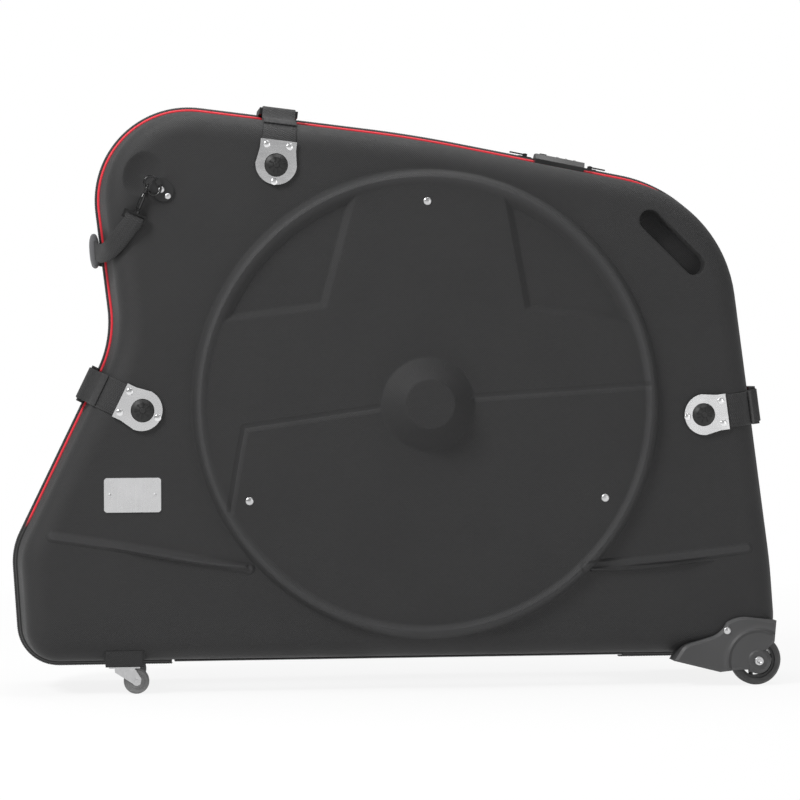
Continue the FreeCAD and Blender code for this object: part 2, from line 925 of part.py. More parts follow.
add_circle(bore, s.fork_mount_x, axle_z, s.skewer_radius + 0.3)
pocket(mount, bore, 2 * s.fork_spacing, reverse=True)
keep(mount)

span = s.fork_spacing / 2
nut = s.skewer_nut_radius
pin_depth = span + nut + 2
skewer = new_body("fork_skewer")
rod = new_sketch(skewer, "fork_skewer_turned", "XY_Plane", (s.fork_mount_x, 0, axle_z))
points = [
    (0, -(span + nut)),
    (s.skewer_radius, -(span + nut)),
    (s.skewer_radius, -(span + nut / 2)),
    (nut * 0.9, -(span + nut / 2)),
    (nut * 1.05, -(span + 1)),
    (s.skewer_radius, -(span + 1)),
    (s.skewer_radius, span + 1),
    (nut, span + 1),
    (nut, span + nut * 0.75),
    (nut * 0.62, span + nut + 1),
    (0, span + nut + 1),
]
add_outline(rod, points)
revolve(skewer, rod)
eye_place = s.fork_mount_x, -pin_depth, axle_z - s.skewer_radius
eye = new_sketch(skewer, "fork_skewer_eye", "XY_Plane", eye_place)
add_circle(eye, 0, 0, s.lever_eye_radius)
pad(skewer, eye, 2 * s.skewer_radius)
lever_place = s.fork_mount_x, -pin_depth, axle_z - s.lever_width / 2
cross = new_sketch(skewer, "fork_skewer_pin", "XY_Plane", lever_place)
add_circle(cross, 0, 0, s.lever_pin_radius)
pad(skewer, cross, s.lever_width)
keep(skewer)

lever = new_body("skewer_lever")
cam = new_sketch(lever, "skewer_lever_cam", "XY_Plane", lever_place)
add_circle(cam, 0, 0, s.lever_eye_radius + 0.6)
pad(lever, cam, s.lever_width)
blade = new_sketch(lever, "skewer_lever_blade", "XY_Plane", lever_place)
reach, heel = s.lever_length, s.lever_eye_radius
points = [
    (heel * 0.4, -heel),
    (reach * 0.35, -heel * 1.3),
    (reach * 0.96, -heel * 0.9),
    (reach * 0.96, -heel * 0.1),
    (reach * 0.35, -heel * 0.4),
    (heel * 0.4, heel),
]
add_outline(blade, points, {0: -reach * 0.9, 1: reach * 1.3, 2: heel * 0.44, 3: -reach * 1.3})
pad(lever, blade, s.lever_width)
gap_place = s.fork_mount_x, -pin_depth, axle_z - s.skewer_radius - 0.3
fork_gap = new_sketch(lever, "skewer_lever_gap", "XY_Plane", gap_place)
add_circle(fork_gap, 0, 0, s.lever_eye_radius + 0.8)
pocket(lever, fork_gap, 2 * s.skewer_radius + 0.6, reverse=True)
pin_hole = new_sketch(lever, "skewer_lever_pin_hole", "XY_Plane", lever_place)
add_circle(pin_hole, 0, 0, s.lever_pin_radius + 0.05)
pocket(lever, pin_hole, s.lever_width, reverse=True)
keep(lever)

cradle = new_body("frame_cradle")
block = new_sketch(cradle, "frame_cradle_side", "XZ_Plane", (0, 0, -s.rail_width / 2))
half = s.cradle_length / 2
high = top + s.cradle_height
throat = s.cradle_radius * 0.9
points = [
    (s.cradle_x - half - 8, top),
    (s.cradle_x + half + 8, top),
    (s.cradle_x + half, high),
    (s.cradle_x + throat, high),
    (s.cradle_x - throat, high),
    (s.cradle_x - half, high),
]
add_outline(block, points, {3: -s.cradle_radius})
pad(cradle, block, s.rail_width)
keep(cradle)


# Padded divider on the far half

divider = new_body("padded_divider")
divider_back = s.divider_depth + s.divider_thick
pad_outline = new_sketch(divider, "padded_divider_outline", "XZ_Plane", (0, 0, -divider_back))
add_rounded(pad_outline, CORNERS, s.divider_inset)
pad(divider, pad_outline, s.divider_thick)
keep(divider)


# Stiffener behind each disc

stiffener = new_body("near_disc_plate")
flat = new_sketch(stiffener, "near_disc_plate_ring", "XZ_Plane", (0, 0, s.half_depth - s.shell_wall))
add_circle(flat, s.disc_x, s.disc_z, s.crest_radius - s.disc_plate_inset)
add_circle(flat, s.disc_x, s.disc_z, s.boss_base_radius + 4)
pad(stiffener, flat, s.disc_plate_thick)
keep_pair(stiffener, "disc_plate")


# Compression straps: plate, bumper, webbing and buckle, each in a frame on the rim with its
# first axis along the rim and its second pointing outwards


def on_strap(body, side):
    x, z, angle = side
    return unite_at(body, x, z, angle)


plates, bumpers, webs, males, females = [], [], [], [], []
for name, (side, plate_reach) in STRAPS.items():
    plate_edge = plate_reach - s.plate_length
    shoulder = plate_edge + s.plate_length * 0.38
    plate = new_body(f"near_{name}_plate")
    face = new_sketch(plate, f"near_{name}_plate_face", "XZ_Plane", (0, 0, plate_seat - s.plate_thick))
    half = s.webbing_width / 2 + 2
    points = [
        (-half, -plate_edge),
        (half, -plate_edge),
        (half, -shoulder),
        (s.plate_radius, -plate_reach),
        (-s.plate_radius, -plate_reach),
        (-half, -shoulder),
    ]
    add_outline(face, points, {3: -(s.plate_radius + 0.05)})
    add_circle(face, 0, -plate_reach, s.plate_hole_radius)
    pad(plate, face, s.plate_thick)
    plates.append(on_strap(plate, side))

    bumper = new_body(f"near_{name}_bumper")
    dome = new_sketch(bumper, f"near_{name}_bumper_turned", "XY_Plane", (0, 0, -plate_reach))
    seat = -s.half_depth
    radius = s.plate_hole_radius - 1
    flange = -(plate_seat - s.plate_thick)
    points = [
        (0, seat),
        (s.bumper_flange_radius, seat),
        (s.bumper_flange_radius, flange),
        (radius, flange),
        (radius, seat - 6),
        (radius - 5, seat - 10),
        (6, seat - 12),
        (0, seat - 12),
    ]
    add_outline(dome, points)
    revolve(bumper, dome)
    bumpers.append(on_strap(bumper, side))

    web = new_body(f"near_{name}_web")
    run = new_sketch(web, f"near_{name}_web_run", "YZ_Plane", (0, 0, -s.webbing_width / 2))
    centre_y = s.half_depth - s.face_round
    centre_n = -(side_lean(centre_y) + s.face_round / cosine(s.draft_angle))
    inner, outside = s.webbing_gap, s.webbing_gap + s.webbing_thick

    def bend(gap):
        reach = s.face_round + gap
        return -(centre_y + reach * sine(s.draft_angle)), centre_n + reach * cosine(s.draft_angle)

    def side_point(depth, gap):
        return -as_size(depth), gap / cosine(s.draft_angle) - side_lean(depth)

    leave = s.buckle_length + 14
    entry = s.buckle_length + 1
    tail = s.buckle_length - 9
    lift = s.buckle_lift + s.buckle_height / 2
    tuck = -shoulder
    points = [
        (-(s.half_depth + inner), tuck),
        (-(s.half_depth + inner), centre_n),
        bend(inner),
        side_point(leave, inner),
        (-entry, lift - s.webbing_thick / 2),
        (-tail, lift - s.webbing_thick / 2),
        (-tail, lift + s.webbing_thick / 2),
        (-entry, lift + s.webbing_thick / 2),
        side_point(leave, outside),
        bend(outside),
        (-(s.half_depth + outside), centre_n),
        (-(s.half_depth + outside), tuck),
    ]
    add_outline(run, points, {1: -(s.face_round + inner), 9: s.face_round + outside})
    pad(web, run, s.webbing_width)
    webs.append(on_strap(web, side))

    # side-release buckle: the male half on the near webbing, the socket on the far webbing
    low, high = s.buckle_lift, s.buckle_lift + s.buckle_height
    wide = s.webbing_width / 2 + 4
    slot = s.webbing_thick / 2 + 0.4
    male = new_body(f"near_{name}_male")
    plan = new_sketch(male, f"near_{name}_male_plan", "XY_Plane", (0, 0, low))
    add_outline(plan, rectangle(-wide, -s.buckle_length, wide, -s.coil_gap))
    pad(male, plan, s.buckle_height)
    window = new_sketch(male, f"near_{name}_male_window", "XY_Plane", (0, 0, low - 1))
    reach = s.webbing_width / 2 + 1
    add_outline(window, rectangle(-reach, -(s.buckle_length - 4), reach, -(s.buckle_length - 14)))
    pocket(male, window, s.buckle_height + 2, reverse=True)
    thread = new_sketch(male, f"near_{name}_male_thread", "XZ_Plane", (0, 0, s.buckle_length - 5))
    add_outline(thread, rectangle(-reach, lift - slot, reach, lift + slot))
    pocket(male, thread, 10, reverse=True)
    prongs = new_sketch(male, f"near_{name}_male_prongs", "XY_Plane", (0, 0, low + s.buckle_height * 0.32))
    arm = wide - s.buckle_wall - s.prong_play - 1.5
    for sign in (-1, 1):
        first, last = arm * sign, (arm - 7) * sign
        left, right = (first, last) if sign < 0 else (last, first)
        add_outline(prongs, rectangle(left, -(s.coil_gap + 1), right, s.prong_length))
    pad(male, prongs, s.buckle_height * 0.36)
    males.append(on_strap(male, side))

    female = new_body(f"far_{name}_socket")
    plan = new_sketch(female, f"far_{name}_socket_plan", "XY_Plane", (0, 0, low))
    add_outline(plan, rectangle(-wide, s.coil_gap, wide, s.buckle_length))
    pad(female, plan, s.buckle_height)
    mouth = new_sketch(female, f"far_{name}_socket_mouth", "XZ_Plane", (0, 0, -s.coil_gap))
    play = wide - s.buckle_wall
    add_outline(mouth, rectangle(-play, low + 1.6, play, high - 1.6))
    pocket(female, mouth, s.prong_length + 3)
    window = new_sketch(female, f"far_{name}_socket_window", "XY_Plane", (0, 0, low - 1))
    add_outline(window, rectangle(-reach, s.buckle_length - 14, reach, s.buckle_length - 4))
    pocket(female, window, s.buckle_height + 2, reverse=True)
    thread = new_sketch(female, f"far_{name}_socket_thread", "XZ_Plane", (0, 0, -(s.buckle_length - 5)))
    add_outline(thread, rectangle(-reach, lift - slot, reach, lift + slot))
    pocket(female, thread, 10)
    females.append(on_strap(female, side))

keep_pair(new_group("near_plates", plates), "strap_plates")
keep_pair(new_group("near_bumper_set", bumpers), "bumpers")
keep_pair(new_group("near_web_set", webs), "webbing")
keep(new_group("near_buckles", males))
keep(new_group("far_buckles", females))


# Fixed wheel: housing that wraps the corner of the shell, axle, rim and tyre

wheel_z = s.wheel_radius
cheek = s.half_depth + s.housing_proud
cover = new_body("near_housing_block")
side = new_sketch(cover, "near_housing_side", "XZ_Plane", (0, 0, well_depth()))
right = s.rear_foot_x - 17
points = [
    (s.wheel_x - 129, 39),
    (s.wheel_x - 119, 54),
    (s.wheel_x - 104, 65),
    (s.wheel_x - 73, 74),
    (s.wheel_x - 48, 96),
    (s.wheel_x - 10, 103),
    (right + 1, 98),
    (right - 2, 66),
    (right - 10, wheel_z + 20),
    (s.wheel_x + 10, wheel_z + 12),
    (s.wheel_x - 6, wheel_z - 14),
    (s.wheel_x - 30, 24),
    (s.wheel_x - 58, 21),
]
bends = {1: as_size(-24), 3: as_size(40), 4: as_size(-52), 9: as_size(60)}
add_outline(side, points, bends)
pad(cover, side, cheek - well_depth())
round_edges(cover, "near_housing_edge", s.housing_proud * 0.45, at_level("Y", -cheek.value), "Chamfer")
dish = new_sketch(cover, "near_housing_dish", "XY_Plane", (s.wheel_x, 0, wheel_z))
tyre_face = wheel_depth() + s.wheel_width / 2
points = [
    (0, -(tyre_face + 1)),
    (s.rim_radius - 8, -(tyre_face + 3)),
    (s.rim_radius - 8, -(cheek - 3)),
    (s.rim_radius - 14, -(cheek + 2)),
    (0, -(cheek + 2)),
]
add_outline(dish, points)
revolve(cover, dish)
room = new_body("near_wheel_room")
turned = new_sketch(room, "near_wheel_room_turned", "XY_Plane", (s.wheel_x, 0, wheel_z))
clear = s.wheel_radius + s.wheel_clearance
add_outline(turned, rectangle(0, -(tyre_face + 0.8), clear, -(well_depth() + s.housing_wall)))
revolve(room, turned)
below = new_sketch(room, "near_wheel_room_below", "XZ_Plane", (0, 0, well_depth() + s.housing_wall))
add_outline(below, rectangle(s.wheel_x - clear, -20, s.rear_foot_x + 40, wheel_z))
pad(room, below, tyre_face + 0.8 - well_depth() - s.housing_wall)
housing = new_cut("near_housing_trimmed", cover, outer_form)
housing = new_cut("near_housing_open", housing, room)
bores = new_body("near_housing_bores")
drill = new_sketch(bores, "near_housing_drill", "XZ_Plane", (0, 0, 0))
add_circle(drill, s.wheel_x, wheel_z, s.axle_radius + 0.2)
pad(bores, drill, 2 * s.half_depth)
keep_pair(new_cut("near_wheel_housing", housing, bores), "wheel_housing")

axle = new_body("near_wheel_axle")
turned = new_sketch(axle, "near_wheel_axle_turned", "XY_Plane", (s.wheel_x, 0, wheel_z))
inside = -(well_depth() - s.shell_wall)
head = cheek + 2
points = [
    (0, inside + 7),
    (s.axle_radius + 3.5, inside + 7),
    (s.axle_radius + 3.5, inside + 0.1),
    (s.axle_radius, inside + 0.1),
    (s.axle_radius, -head),
    (s.axle_radius + 2.6, -head),
    (s.axle_radius + 2.6, -(head + 2.4)),
    (s.axle_radius + 1.6, -(head + 3.2)),
    (0, -(head + 3.2)),
]
add_outline(turned, points)
revolve(axle, turned)
keep_pair(axle, "wheel_axle")

rim = new_body("near_wheel_rim")
barrel = new_sketch(rim, "near_wheel_rim_turned", "XY_Plane", (s.wheel_x, 0, wheel_z))
half = s.wheel_width / 2
middle = -wheel_depth()
points = [
    (s.rim_radius - 4, middle - half + 3),
    (s.rim_radius, middle - half + 3),
    (s.rim_radius, middle + half - 3),
    (s.rim_radius - 4, middle + half - 3),
]
add_outline(barrel, points)
revolve(rim, barrel)
hub = new_sketch(rim, "near_wheel_hub", "XZ_Plane", (0, 0, wheel_depth() - half))
add_circle(hub, s.wheel_x, wheel_z, 13)
add_circle(hub, s.wheel_x, wheel_z, s.axle_radius + 0.15)
pad(rim, hub, s.wheel_width)
spokes = new_sketch(rim, "near_wheel_spoke", "XZ_Plane", (s.wheel_x, wheel_z, wheel_depth() - half + 5))
outer_reach = s.rim_radius - 2
points = [(12, -2.5), (outer_reach, 6), (outer_reach - 0.5, 10), (11.5, 2.5)]
add_outline(spokes, points, {0: as_size(26), 2: as_size(-22)})
spoke = pad(rim, spokes, s.wheel_width - 10)
turning = feature(rim, "PolarPattern", "near_wheel_spokes")
turning.Originals = [spoke]
turning.Axis = (spokes, ["N_Axis"])
turning.Angle = 360
turning.Occurrences = 6
rim.Tip = turning
keep_pair(rim, "wheel_rim")

tyre = new_body("near_wheel_tyre")
turned = new_sketch(tyre, "near_wheel_tyre_turned", "XY_Plane", (s.wheel_x, 0, wheel_z))
points = [
    (s.rim_radius, middle - half + 1),
    (s.wheel_radius - 4, middle - half),
    (s.wheel_radius, middle - half + 6),
    (s.wheel_radius, middle + half - 6),
    (s.wheel_radius - 4, middle + half),
    (s.rim_radius, middle + half - 1),
]
add_outline(turned, points)
revolve(tyre, turned)
keep_pair(tyre, "wheel_tyre")


# Swivel caster: fixed plate with king pin, fork and wheel

plate_low = s.base_height - s.caster_plate
base = new_body("near_caster_plate")
plate_place = s.caster_x, -caster_depth(), plate_low
sheet_metal = new_sketch(base, "near_caster_plate_outline", "XY_Plane", plate_place)
half = s.foot_pad_width / 2 - 5
deep = s.foot_pad_depth / 2 - 4
add_outline(sheet_metal, rectangle(-half, -deep, half, deep))
pad(base, sheet_metal, s.caster_plate)
pin = new_sketch(base, "near_caster_pin_turned", "XZ_Plane", (s.caster_x, 0, caster_depth()))
fork_top = plate_low - 0.8
points = [
    (0, fork_top - s.fork_sheet - 1.6),
    (5, fork_top - s.fork_sheet - 1.6),
    (5, fork_top - s.fork_sheet - 0.4),
    (3.5, fork_top - s.fork_sheet - 0.4),
    (3.5, fork_top + 0.3),
    (9, fork_top + 0.3),
    (9, plate_low + 0.5),
    (0, plate_low + 0.5),
]
add_outline(pin, points)
revolve(base, pin)
keep_pair(base, "caster_plate")

fork = new_body("near_caster_fork")
gap_start = caster_depth() - s.caster_width / 2 - 1
fork_width = s.caster_width + 2 + 2 * s.fork_sheet
side = new_sketch(fork, "near_caster_fork_side", "XZ_Plane", (0, 0, gap_start - s.fork_sheet))
wheel_x = s.caster_x + s.caster_trail
points = [
    (s.caster_x - 14, fork_top),
    (s.caster_x - 14, fork_top - 6),
    (wheel_x - 6, s.caster_radius - 3),
    (wheel_x + 6, s.caster_radius - 3),
    (wheel_x + 7, s.caster_radius + 4),
    (s.caster_x + 15, fork_top),
]
add_outline(side, points, {2: as_size(7)})
pad(fork, side, fork_width)
gap = new_sketch(fork, "near_caster_fork_gap", "XZ_Plane", (0, 0, gap_start))
crown = s.caster_x + 9.5
points = [
    (s.caster_x - 40, -5),
    (s.caster_x + 60, -5),
    (s.caster_x + 60, fork_top + 1),
    (crown, fork_top + 1),
    (crown, fork_top - s.fork_sheet),
    (s.caster_x - 40, fork_top - s.fork_sheet),
]
add_outline(gap, points)
pocket(fork, gap, s.caster_width + 2, reverse=True)
eye = new_sketch(fork, "near_caster_fork_eye", "XY_Plane", (s.caster_x, -caster_depth(), fork_top + 1))
add_circle(eye, 0, 0, 4)
pocket(fork, eye, 8)
head = 1.5
pin = new_sketch(fork, "near_caster_axle", "XZ_Plane", (0, 0, gap_start - s.fork_sheet - head))
add_circle(pin, wheel_x, s.caster_radius, 3)
pad(fork, pin, fork_width + 2 * head)
keep_pair(fork, "caster_fork")

roller = new_body("near_caster_wheel")
turned = new_sketch(roller, "near_caster_wheel_turned", "XY_Plane", (wheel_x, 0, s.caster_radius))
half = s.caster_width / 2
middle = -caster_depth()
points = [
    (3.2, middle - half),
    (s.caster_radius * 0.5, middle - half),
    (s.caster_radius * 0.62, middle - half + 2),
    (s.caster_radius - 3, middle - half + 1),
    (s.caster_radius, middle - half + 4),
    (s.caster_radius, middle + half - 4),
    (s.caster_radius - 3, middle + half - 1),
    (s.caster_radius * 0.62, middle + half - 2),
    (s.caster_radius * 0.5, middle + half),
    (3.2, middle + half),
]
add_outline(turned, points)
revolve(roller, turned)
keep_pair(roller, "caster_wheel")


# Name plate, left bare

tag = new_body("name_plate")
face = new_sketch(tag, "name_plate_outline", "XZ_Plane", (s.tag_x, s.tag_z, s.half_depth))
wide, tall = s.tag_width / 2, s.tag_height / 2
cut = 3
points = [
    (-wide, -(tall - cut)),
    (-(wide - cut), -tall),
    (wide - cut, -tall),
    (wide, -(tall - cut)),
    (wide, tall - cut),
    (wide - cut, tall),
    (-(wide - cut), tall),
    (-wide, tall - cut),
]
add_outline(face, points)
for sign in (-1, 1):
    add_circle(face, (wide - 9) * sign, 0, 1.6)
pad(tag, face, s.tag_thick)
keep(tag)


# Combination lock on the near rim, with two zip sliders that meet it

lock_side = on_side(TOP_REAR, x=s.lock_x)
lock_half = s.lock_length / 2
lock = new_body("lock_case")
profile = new_sketch(lock, "lock_case_profile", "YZ_Plane", (0, 0, -lock_half))
front = -(s.coil_gap + 2)
back = front - s.lock_width
low = s.coil_proud + 0.8
points = [
    (front, low),
    (front, s.lock_height - 2),
    (front - 3, s.lock_height),
    (back + 6, s.lock_height),
    (back, s.lock_height - 8),
    (back, -side_lean(-back) + 0.3),
    (-(s.rim_depth + 1.5), 0.3),
    (-(s.rim_depth + 1.5), low),
]
add_outline(profile, points)
pad(lock, profile, s.lock_length)
dial_y = (front + back) / 2
dial_z = s.lock_height + 1.6 - s.dial_radius
slots = new_sketch(lock, "lock_case_slots", "XY_Plane", (0, 0, s.lock_height + 1))
for step in (-1, 0, 1):
    centre = s.dial_shift + s.dial_pitch * step
    half = s.dial_width / 2 + 0.5
    room = s.dial_radius + 0.6
    add_outline(slots, rectangle(centre - half, dial_y - room, centre + half, dial_y + room))
pocket(lock, slots, s.dial_radius + 6.4)
well = new_sketch(lock, "lock_case_button_well", "XY_Plane", (0, 0, s.lock_height + 1))
button_x = -(lock_half - 12)
add_outline(well, rectangle(button_x - 5.4, dial_y - 5.4, button_x + 5.4, dial_y + 5.4))
pocket(lock, well, 6)
keep(unite_at(lock, *lock_side))

button = new_body("lock_button")
cap = new_sketch(button, "lock_button_outline", "XY_Plane", (0, 0, s.lock_height - 2.6))
add_outline(cap, rectangle(button_x - 5, dial_y - 5, button_x + 5, dial_y + 5))
pad(button, cap, 4.2)
keep(unite_at(button, *lock_side))

for step in (-1, 0, 1):
    dial = new_body(f"lock_dial_{step + 2}")
    centre = s.dial_shift + s.dial_pitch * step
    wheel = new_sketch(dial, f"{dial.Name}_turned", "XY_Plane", (0, dial_y, dial_z))
    low, high = centre - s.dial_width / 2, centre + s.dial_width / 2
    shoulder = s.dial_radius - 1
    points = [
        (low, 0),
        (high, 0),
        (high, shoulder),
        (high - 1, s.dial_radius),
        (low + 1, s.dial_radius),
        (low, shoulder),
    ]
    add_outline(wheel, points)
    revolve(dial, wheel, axis="H_Axis")
    keep(unite_at(dial, *lock_side))

for hand, sign in (("left", -1), ("right", 1)):
    slider = new_body(f"zip_slider_{hand}")
    centre = (lock_half + 3 + s.slider_length / 2) * sign
    half = s.slider_length / 2
    low = s.coil_proud + 0.8
    top = new_sketch(slider, f"{slider.Name}_plate", "XY_Plane", (0, 0, low))
    add_outline(top, rectangle(centre - half, -(coil_end - 0.5), centre + half, coil_end + 1.1))
    pad(slider, top, 1.8)
    flange = new_sketch(slider, f"{slider.Name}_flange", "XY_Plane", (0, 0, s.tape_proud + 0.5))
    add_outline(flange, rectangle(centre - half + 2, coil_end + 0.3, centre + half - 2, coil_end + 1.1))
    pad(slider, flange, low - s.tape_proud)
    bridge = new_sketch(slider, f"{slider.Name}_bridge", "XY_Plane", (0, 0, low + 1.5))
    for side in (-1, 1):
        first = as_size(3.4 * side)
        left, right = (first - 1.2, first) if side < 0 else (first, first + 1.2)
        add_outline(bridge, rectangle(centre - 3, left, centre + 3, right))
    pad(slider, bridge, 4.3)
    pivot = new_sketch(slider, f"{slider.Name}_pivot", "XZ_Plane", (0, 0, -4))
    add_circle(pivot, centre, low + 4.2, 0.9)
    pad(slider, pivot, 8)
    keep(unite_at(slider, *lock_side))

    pull = new_body(f"zip_pull_{hand}")
    tab = new_sketch(pull, f"{pull.Name}_side", "XZ_Plane", (0, 0, -3))
    near, tip = centre + 1.2 * sign, centre + s.pull_length * sign
    left, right = (tip, near) if sign < 0 else (near, tip)
    add_outline(tab, rectangle(left, low + 3.2, right, low + 5.2))
    pad(pull, tab, 6)
    eye = new_sketch(pull, f"{pull.Name}_eye", "XZ_Plane", (0, 0, -3))
    add_circle(eye, centre, low + 4.2, 2.2)
    pad(pull, eye, 6)
    bore = new_sketch(pull, f"{pull.Name}_bore", "XZ_Plane", (0, 0, -4))
    add_circle(bore, centre, low + 4.2, 1.0)
    pocket(pull, bore, 8, reverse=True)
    keep(unite_at(pull, *lock_side))


# Haul strap over the front edge: plate and ring on each half, hook, webbing and padded sleeve

seat = s.half_depth
plate = new_body("near_haul_backing")
plate_place = s.haul_plate_x, s.haul_plate_z, seat
face = new_sketch(plate, "near_haul_backing_outline", "XZ_Plane", plate_place, -45)
add_slot(face, s.haul_plate_run, s.haul_plate_radius)
pad(plate, face, s.haul_plate_thick)

ring_seat = seat + s.haul_plate_thick + s.rivet_head + s.haul_wire + 0.3
ring_reach = s.haul_ring_radius
ring_x = s.haul_plate_x - 5
ring_z = s.haul_plate_z + 10.5


def outward_frame(body, x, z, angle):
    """A frame whose third axis points along an angle in the plane of the case."""
    return unite_at(body, x, z, as_size(angle) - 90)


keeper = new_body("near_haul_keeper")
arch = new_sketch(keeper, "near_haul_keeper_arch", "YZ_Plane", (0, 0, -4))
add_outline(arch, rectangle(-(ring_seat + 3.6), -3.6, -(seat + 1), 3.6))
add_circle(arch, -ring_seat, 0, s.haul_wire + 0.4)
pad(keeper, arch, 8)
outward_frame(keeper, ring_x, ring_z, s.haul_ring_angle)
keep_pair(new_fuse("near_haul_anchor", [plate, keeper]), "haul_plate")

ring_body = new_body("near_haul_ring")
loop = new_sketch(ring_body, "near_haul_ring_loop", "XZ_Plane", (0, ring_reach, ring_seat))
add_slot(loop, s.haul_ring_run, ring_reach)
wire = new_sketch(ring_body, "near_haul_ring_wire", "YZ_Plane")
add_circle(wire, -ring_seat, 2 * ring_reach, s.haul_wire)
sweep = feature(ring_body, "AdditivePipe", "near_haul_ring_sweep", wire)
sweep.Spine = (loop, [])
keep_pair(outward_frame(ring_body, ring_x, ring_z, s.haul_ring_angle), "haul_ring")

hook_x = ring_x + cosine(s.haul_ring_angle) * 2 * ring_reach
hook_z = ring_z + sine(s.haul_ring_angle) * 2 * ring_reach
hook = new_body("near_haul_hook")
eye_shift = s.hook_eye - 6
eye = new_sketch(hook, "near_haul_hook_eye", "XZ_Plane", (0, eye_shift, ring_seat))
add_circle(eye, 0, s.hook_eye, s.haul_wire)
revolve(hook, eye, axis="H_Axis")
neck = new_sketch(hook, "near_haul_hook_neck", "XZ_Plane", (0, 0, ring_seat))
start = eye_shift + s.hook_eye + 0.6
collar = start + s.hook_neck
points = [
    (0, start),
    (2.6, start),
    (3.6, start + 5),
    (3.6, collar - 7),
    (2.2, collar - 6),
    (2.2, collar - 4),
    (4.6, collar - 3),
    (4.6, collar + 0.5),
    (0, collar + 0.5),
]
add_outline(neck, points)
revolve(hook, neck)
frame = new_sketch(hook, "near_haul_hook_frame", "XZ_Plane", (0, 0, ring_seat - 1.6))
wide = s.haul_width / 2 + 1.2
add_outline(frame, rectangle(-(wide + 3), collar, wide + 3, collar + 13))
add_outline(frame, rectangle(-wide, collar + 3, wide, collar + 10))
pad(hook, frame, 3.2)
keep_pair(outward_frame(hook, hook_x, hook_z, s.hook_angle), "haul_hook")


def strap_section(x, depth, z, width_angle, lean):
    """A rectangular section of the haul webbing: lean turns its thickness from -Y towards outside."""
    across = Vector(math.cos(math.radians(width_angle)), 0, math.sin(math.radians(width_angle)))
    outside = Vector(-across.z, 0, across.x)
    tilt = math.radians(lean)
    thick = Vector(0, -math.cos(tilt), 0) + outside * math.sin(tilt)
    centre = Vector(x, -depth, z)
    wide, half = across * (SIZES["haul_width"] / 2), thick * (SIZES["webbing_thick"] / 2)
    corners = [centre - wide - half, centre + wide - half, centre + wide + half, centre - wide + half]
    return Part.makePolygon(corners + corners[:1])


sleeve_run = SIZES["haul_x"] - SIZES["haul_lift"]
sleeve_z = SIZES["haul_z"]
along_grip = SIZES["haul_angle"] - 90
flat_depth = ring_seat.value
over_bar = flat_depth + 1.7 + SIZES["webbing_thick"] / 2
towards = Vector(math.cos(math.radians(SIZES["hook_angle"])), 0, math.sin(math.radians(SIZES["hook_angle"])))
inner = Vector(hook_x.value, 0, hook_z.value) + towards * (collar.value + 8)
outer = inner + towards * 7
sections = [
    strap_section(inner.x, over_bar, inner.z, SIZES["hook_angle"] - 90, 0),
    strap_section(outer.x, over_bar, outer.z, SIZES["hook_angle"] - 90, 0),
    strap_section(sleeve_run + 42, flat_depth - 2, sleeve_z + 22, 146, 14),
    strap_section(sleeve_run + 30, flat_depth - 8, sleeve_z + 7, 134, 40),
    strap_section(sleeve_run + 18, flat_depth - 23, sleeve_z - 4, 115, 66),
    strap_section(sleeve_run + 8, flat_depth - 47, sleeve_z - 6, 92, 76),
    strap_section(sleeve_run, SIZES["sleeve_length"] / 2 - 2, sleeve_z, along_grip, 90),
    strap_section(sleeve_run, SIZES["sleeve_length"] / 2 - 22, sleeve_z, along_grip, 90),
]
haul_web = doc.addObject("Part::Feature", "near_haul_web")
haul_web.Shape = Part.makeLoft(sections, True, True)
keep_pair(haul_web, "haul_web")

sleeve = new_body("haul_grip")
half = s.sleeve_length / 2
block = new_sketch(sleeve, "haul_grip_section", "XZ_Plane", (0, 0, -half))
wide, thick = s.sleeve_width / 2, s.sleeve_thick / 2
corner = thick * 0.9
points = [
    (-(wide - corner), -thick),
    (wide - corner, -thick),
    (wide, -(thick - corner)),
    (wide, thick - corner),
    (wide - corner, thick),
    (-(wide - corner), thick),
    (-wide, thick - corner),
    (-wide, -(thick - corner)),
]
add_outline(block, points, {1: corner, 3: corner, 5: corner, 7: corner})
pad(sleeve, block, s.sleeve_length)
channel = new_sketch(sleeve, "haul_grip_channel", "XZ_Plane", (0, 0, -half - 1))
room = s.webbing_thick / 2 + 1.2
add_outline(channel, rectangle(-(s.haul_width / 2 + 3), -room, s.haul_width / 2 + 3, room))
pocket(sleeve, channel, s.sleeve_length + 2, reverse=True)
keep(outward_frame(sleeve, s.haul_x - s.haul_lift, s.haul_z, s.haul_angle))


# Check every object and write the parts

doc.recompute()
for item in doc.Objects:
    for state in ("Invalid", "Error"):
        if state in item.State:
            raise RuntimeError(f"{item.Name} is {state}")
for item in NODES:
    if item.Shape.isNull() or not item.Shape.isValid() or not item.Shape.Solids:
        raise RuntimeError(f"{item.Label} has no valid solid")

os.makedirs("parts", exist_ok=True)
for item in NODES:
    item.Shape.exportStep(f"parts/{item.Label}.step")
print(f"{len(NODES)} nodes")
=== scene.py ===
import math

import bmesh
import bpy
import numpy as np
from mathutils import Matrix, Vector
from mathutils.bvhtree import BVHTree


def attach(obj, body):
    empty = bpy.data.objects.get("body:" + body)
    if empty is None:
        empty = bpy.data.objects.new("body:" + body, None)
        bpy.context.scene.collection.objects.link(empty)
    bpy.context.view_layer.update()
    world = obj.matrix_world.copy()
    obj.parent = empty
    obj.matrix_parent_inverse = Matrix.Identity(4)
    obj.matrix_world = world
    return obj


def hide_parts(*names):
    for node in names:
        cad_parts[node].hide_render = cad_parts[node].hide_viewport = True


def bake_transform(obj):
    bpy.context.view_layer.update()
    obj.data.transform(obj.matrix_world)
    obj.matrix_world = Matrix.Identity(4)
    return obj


# Looks of the bike travel case. Metres, in the frame of the CAD part: +Z up, the near half at -Y.

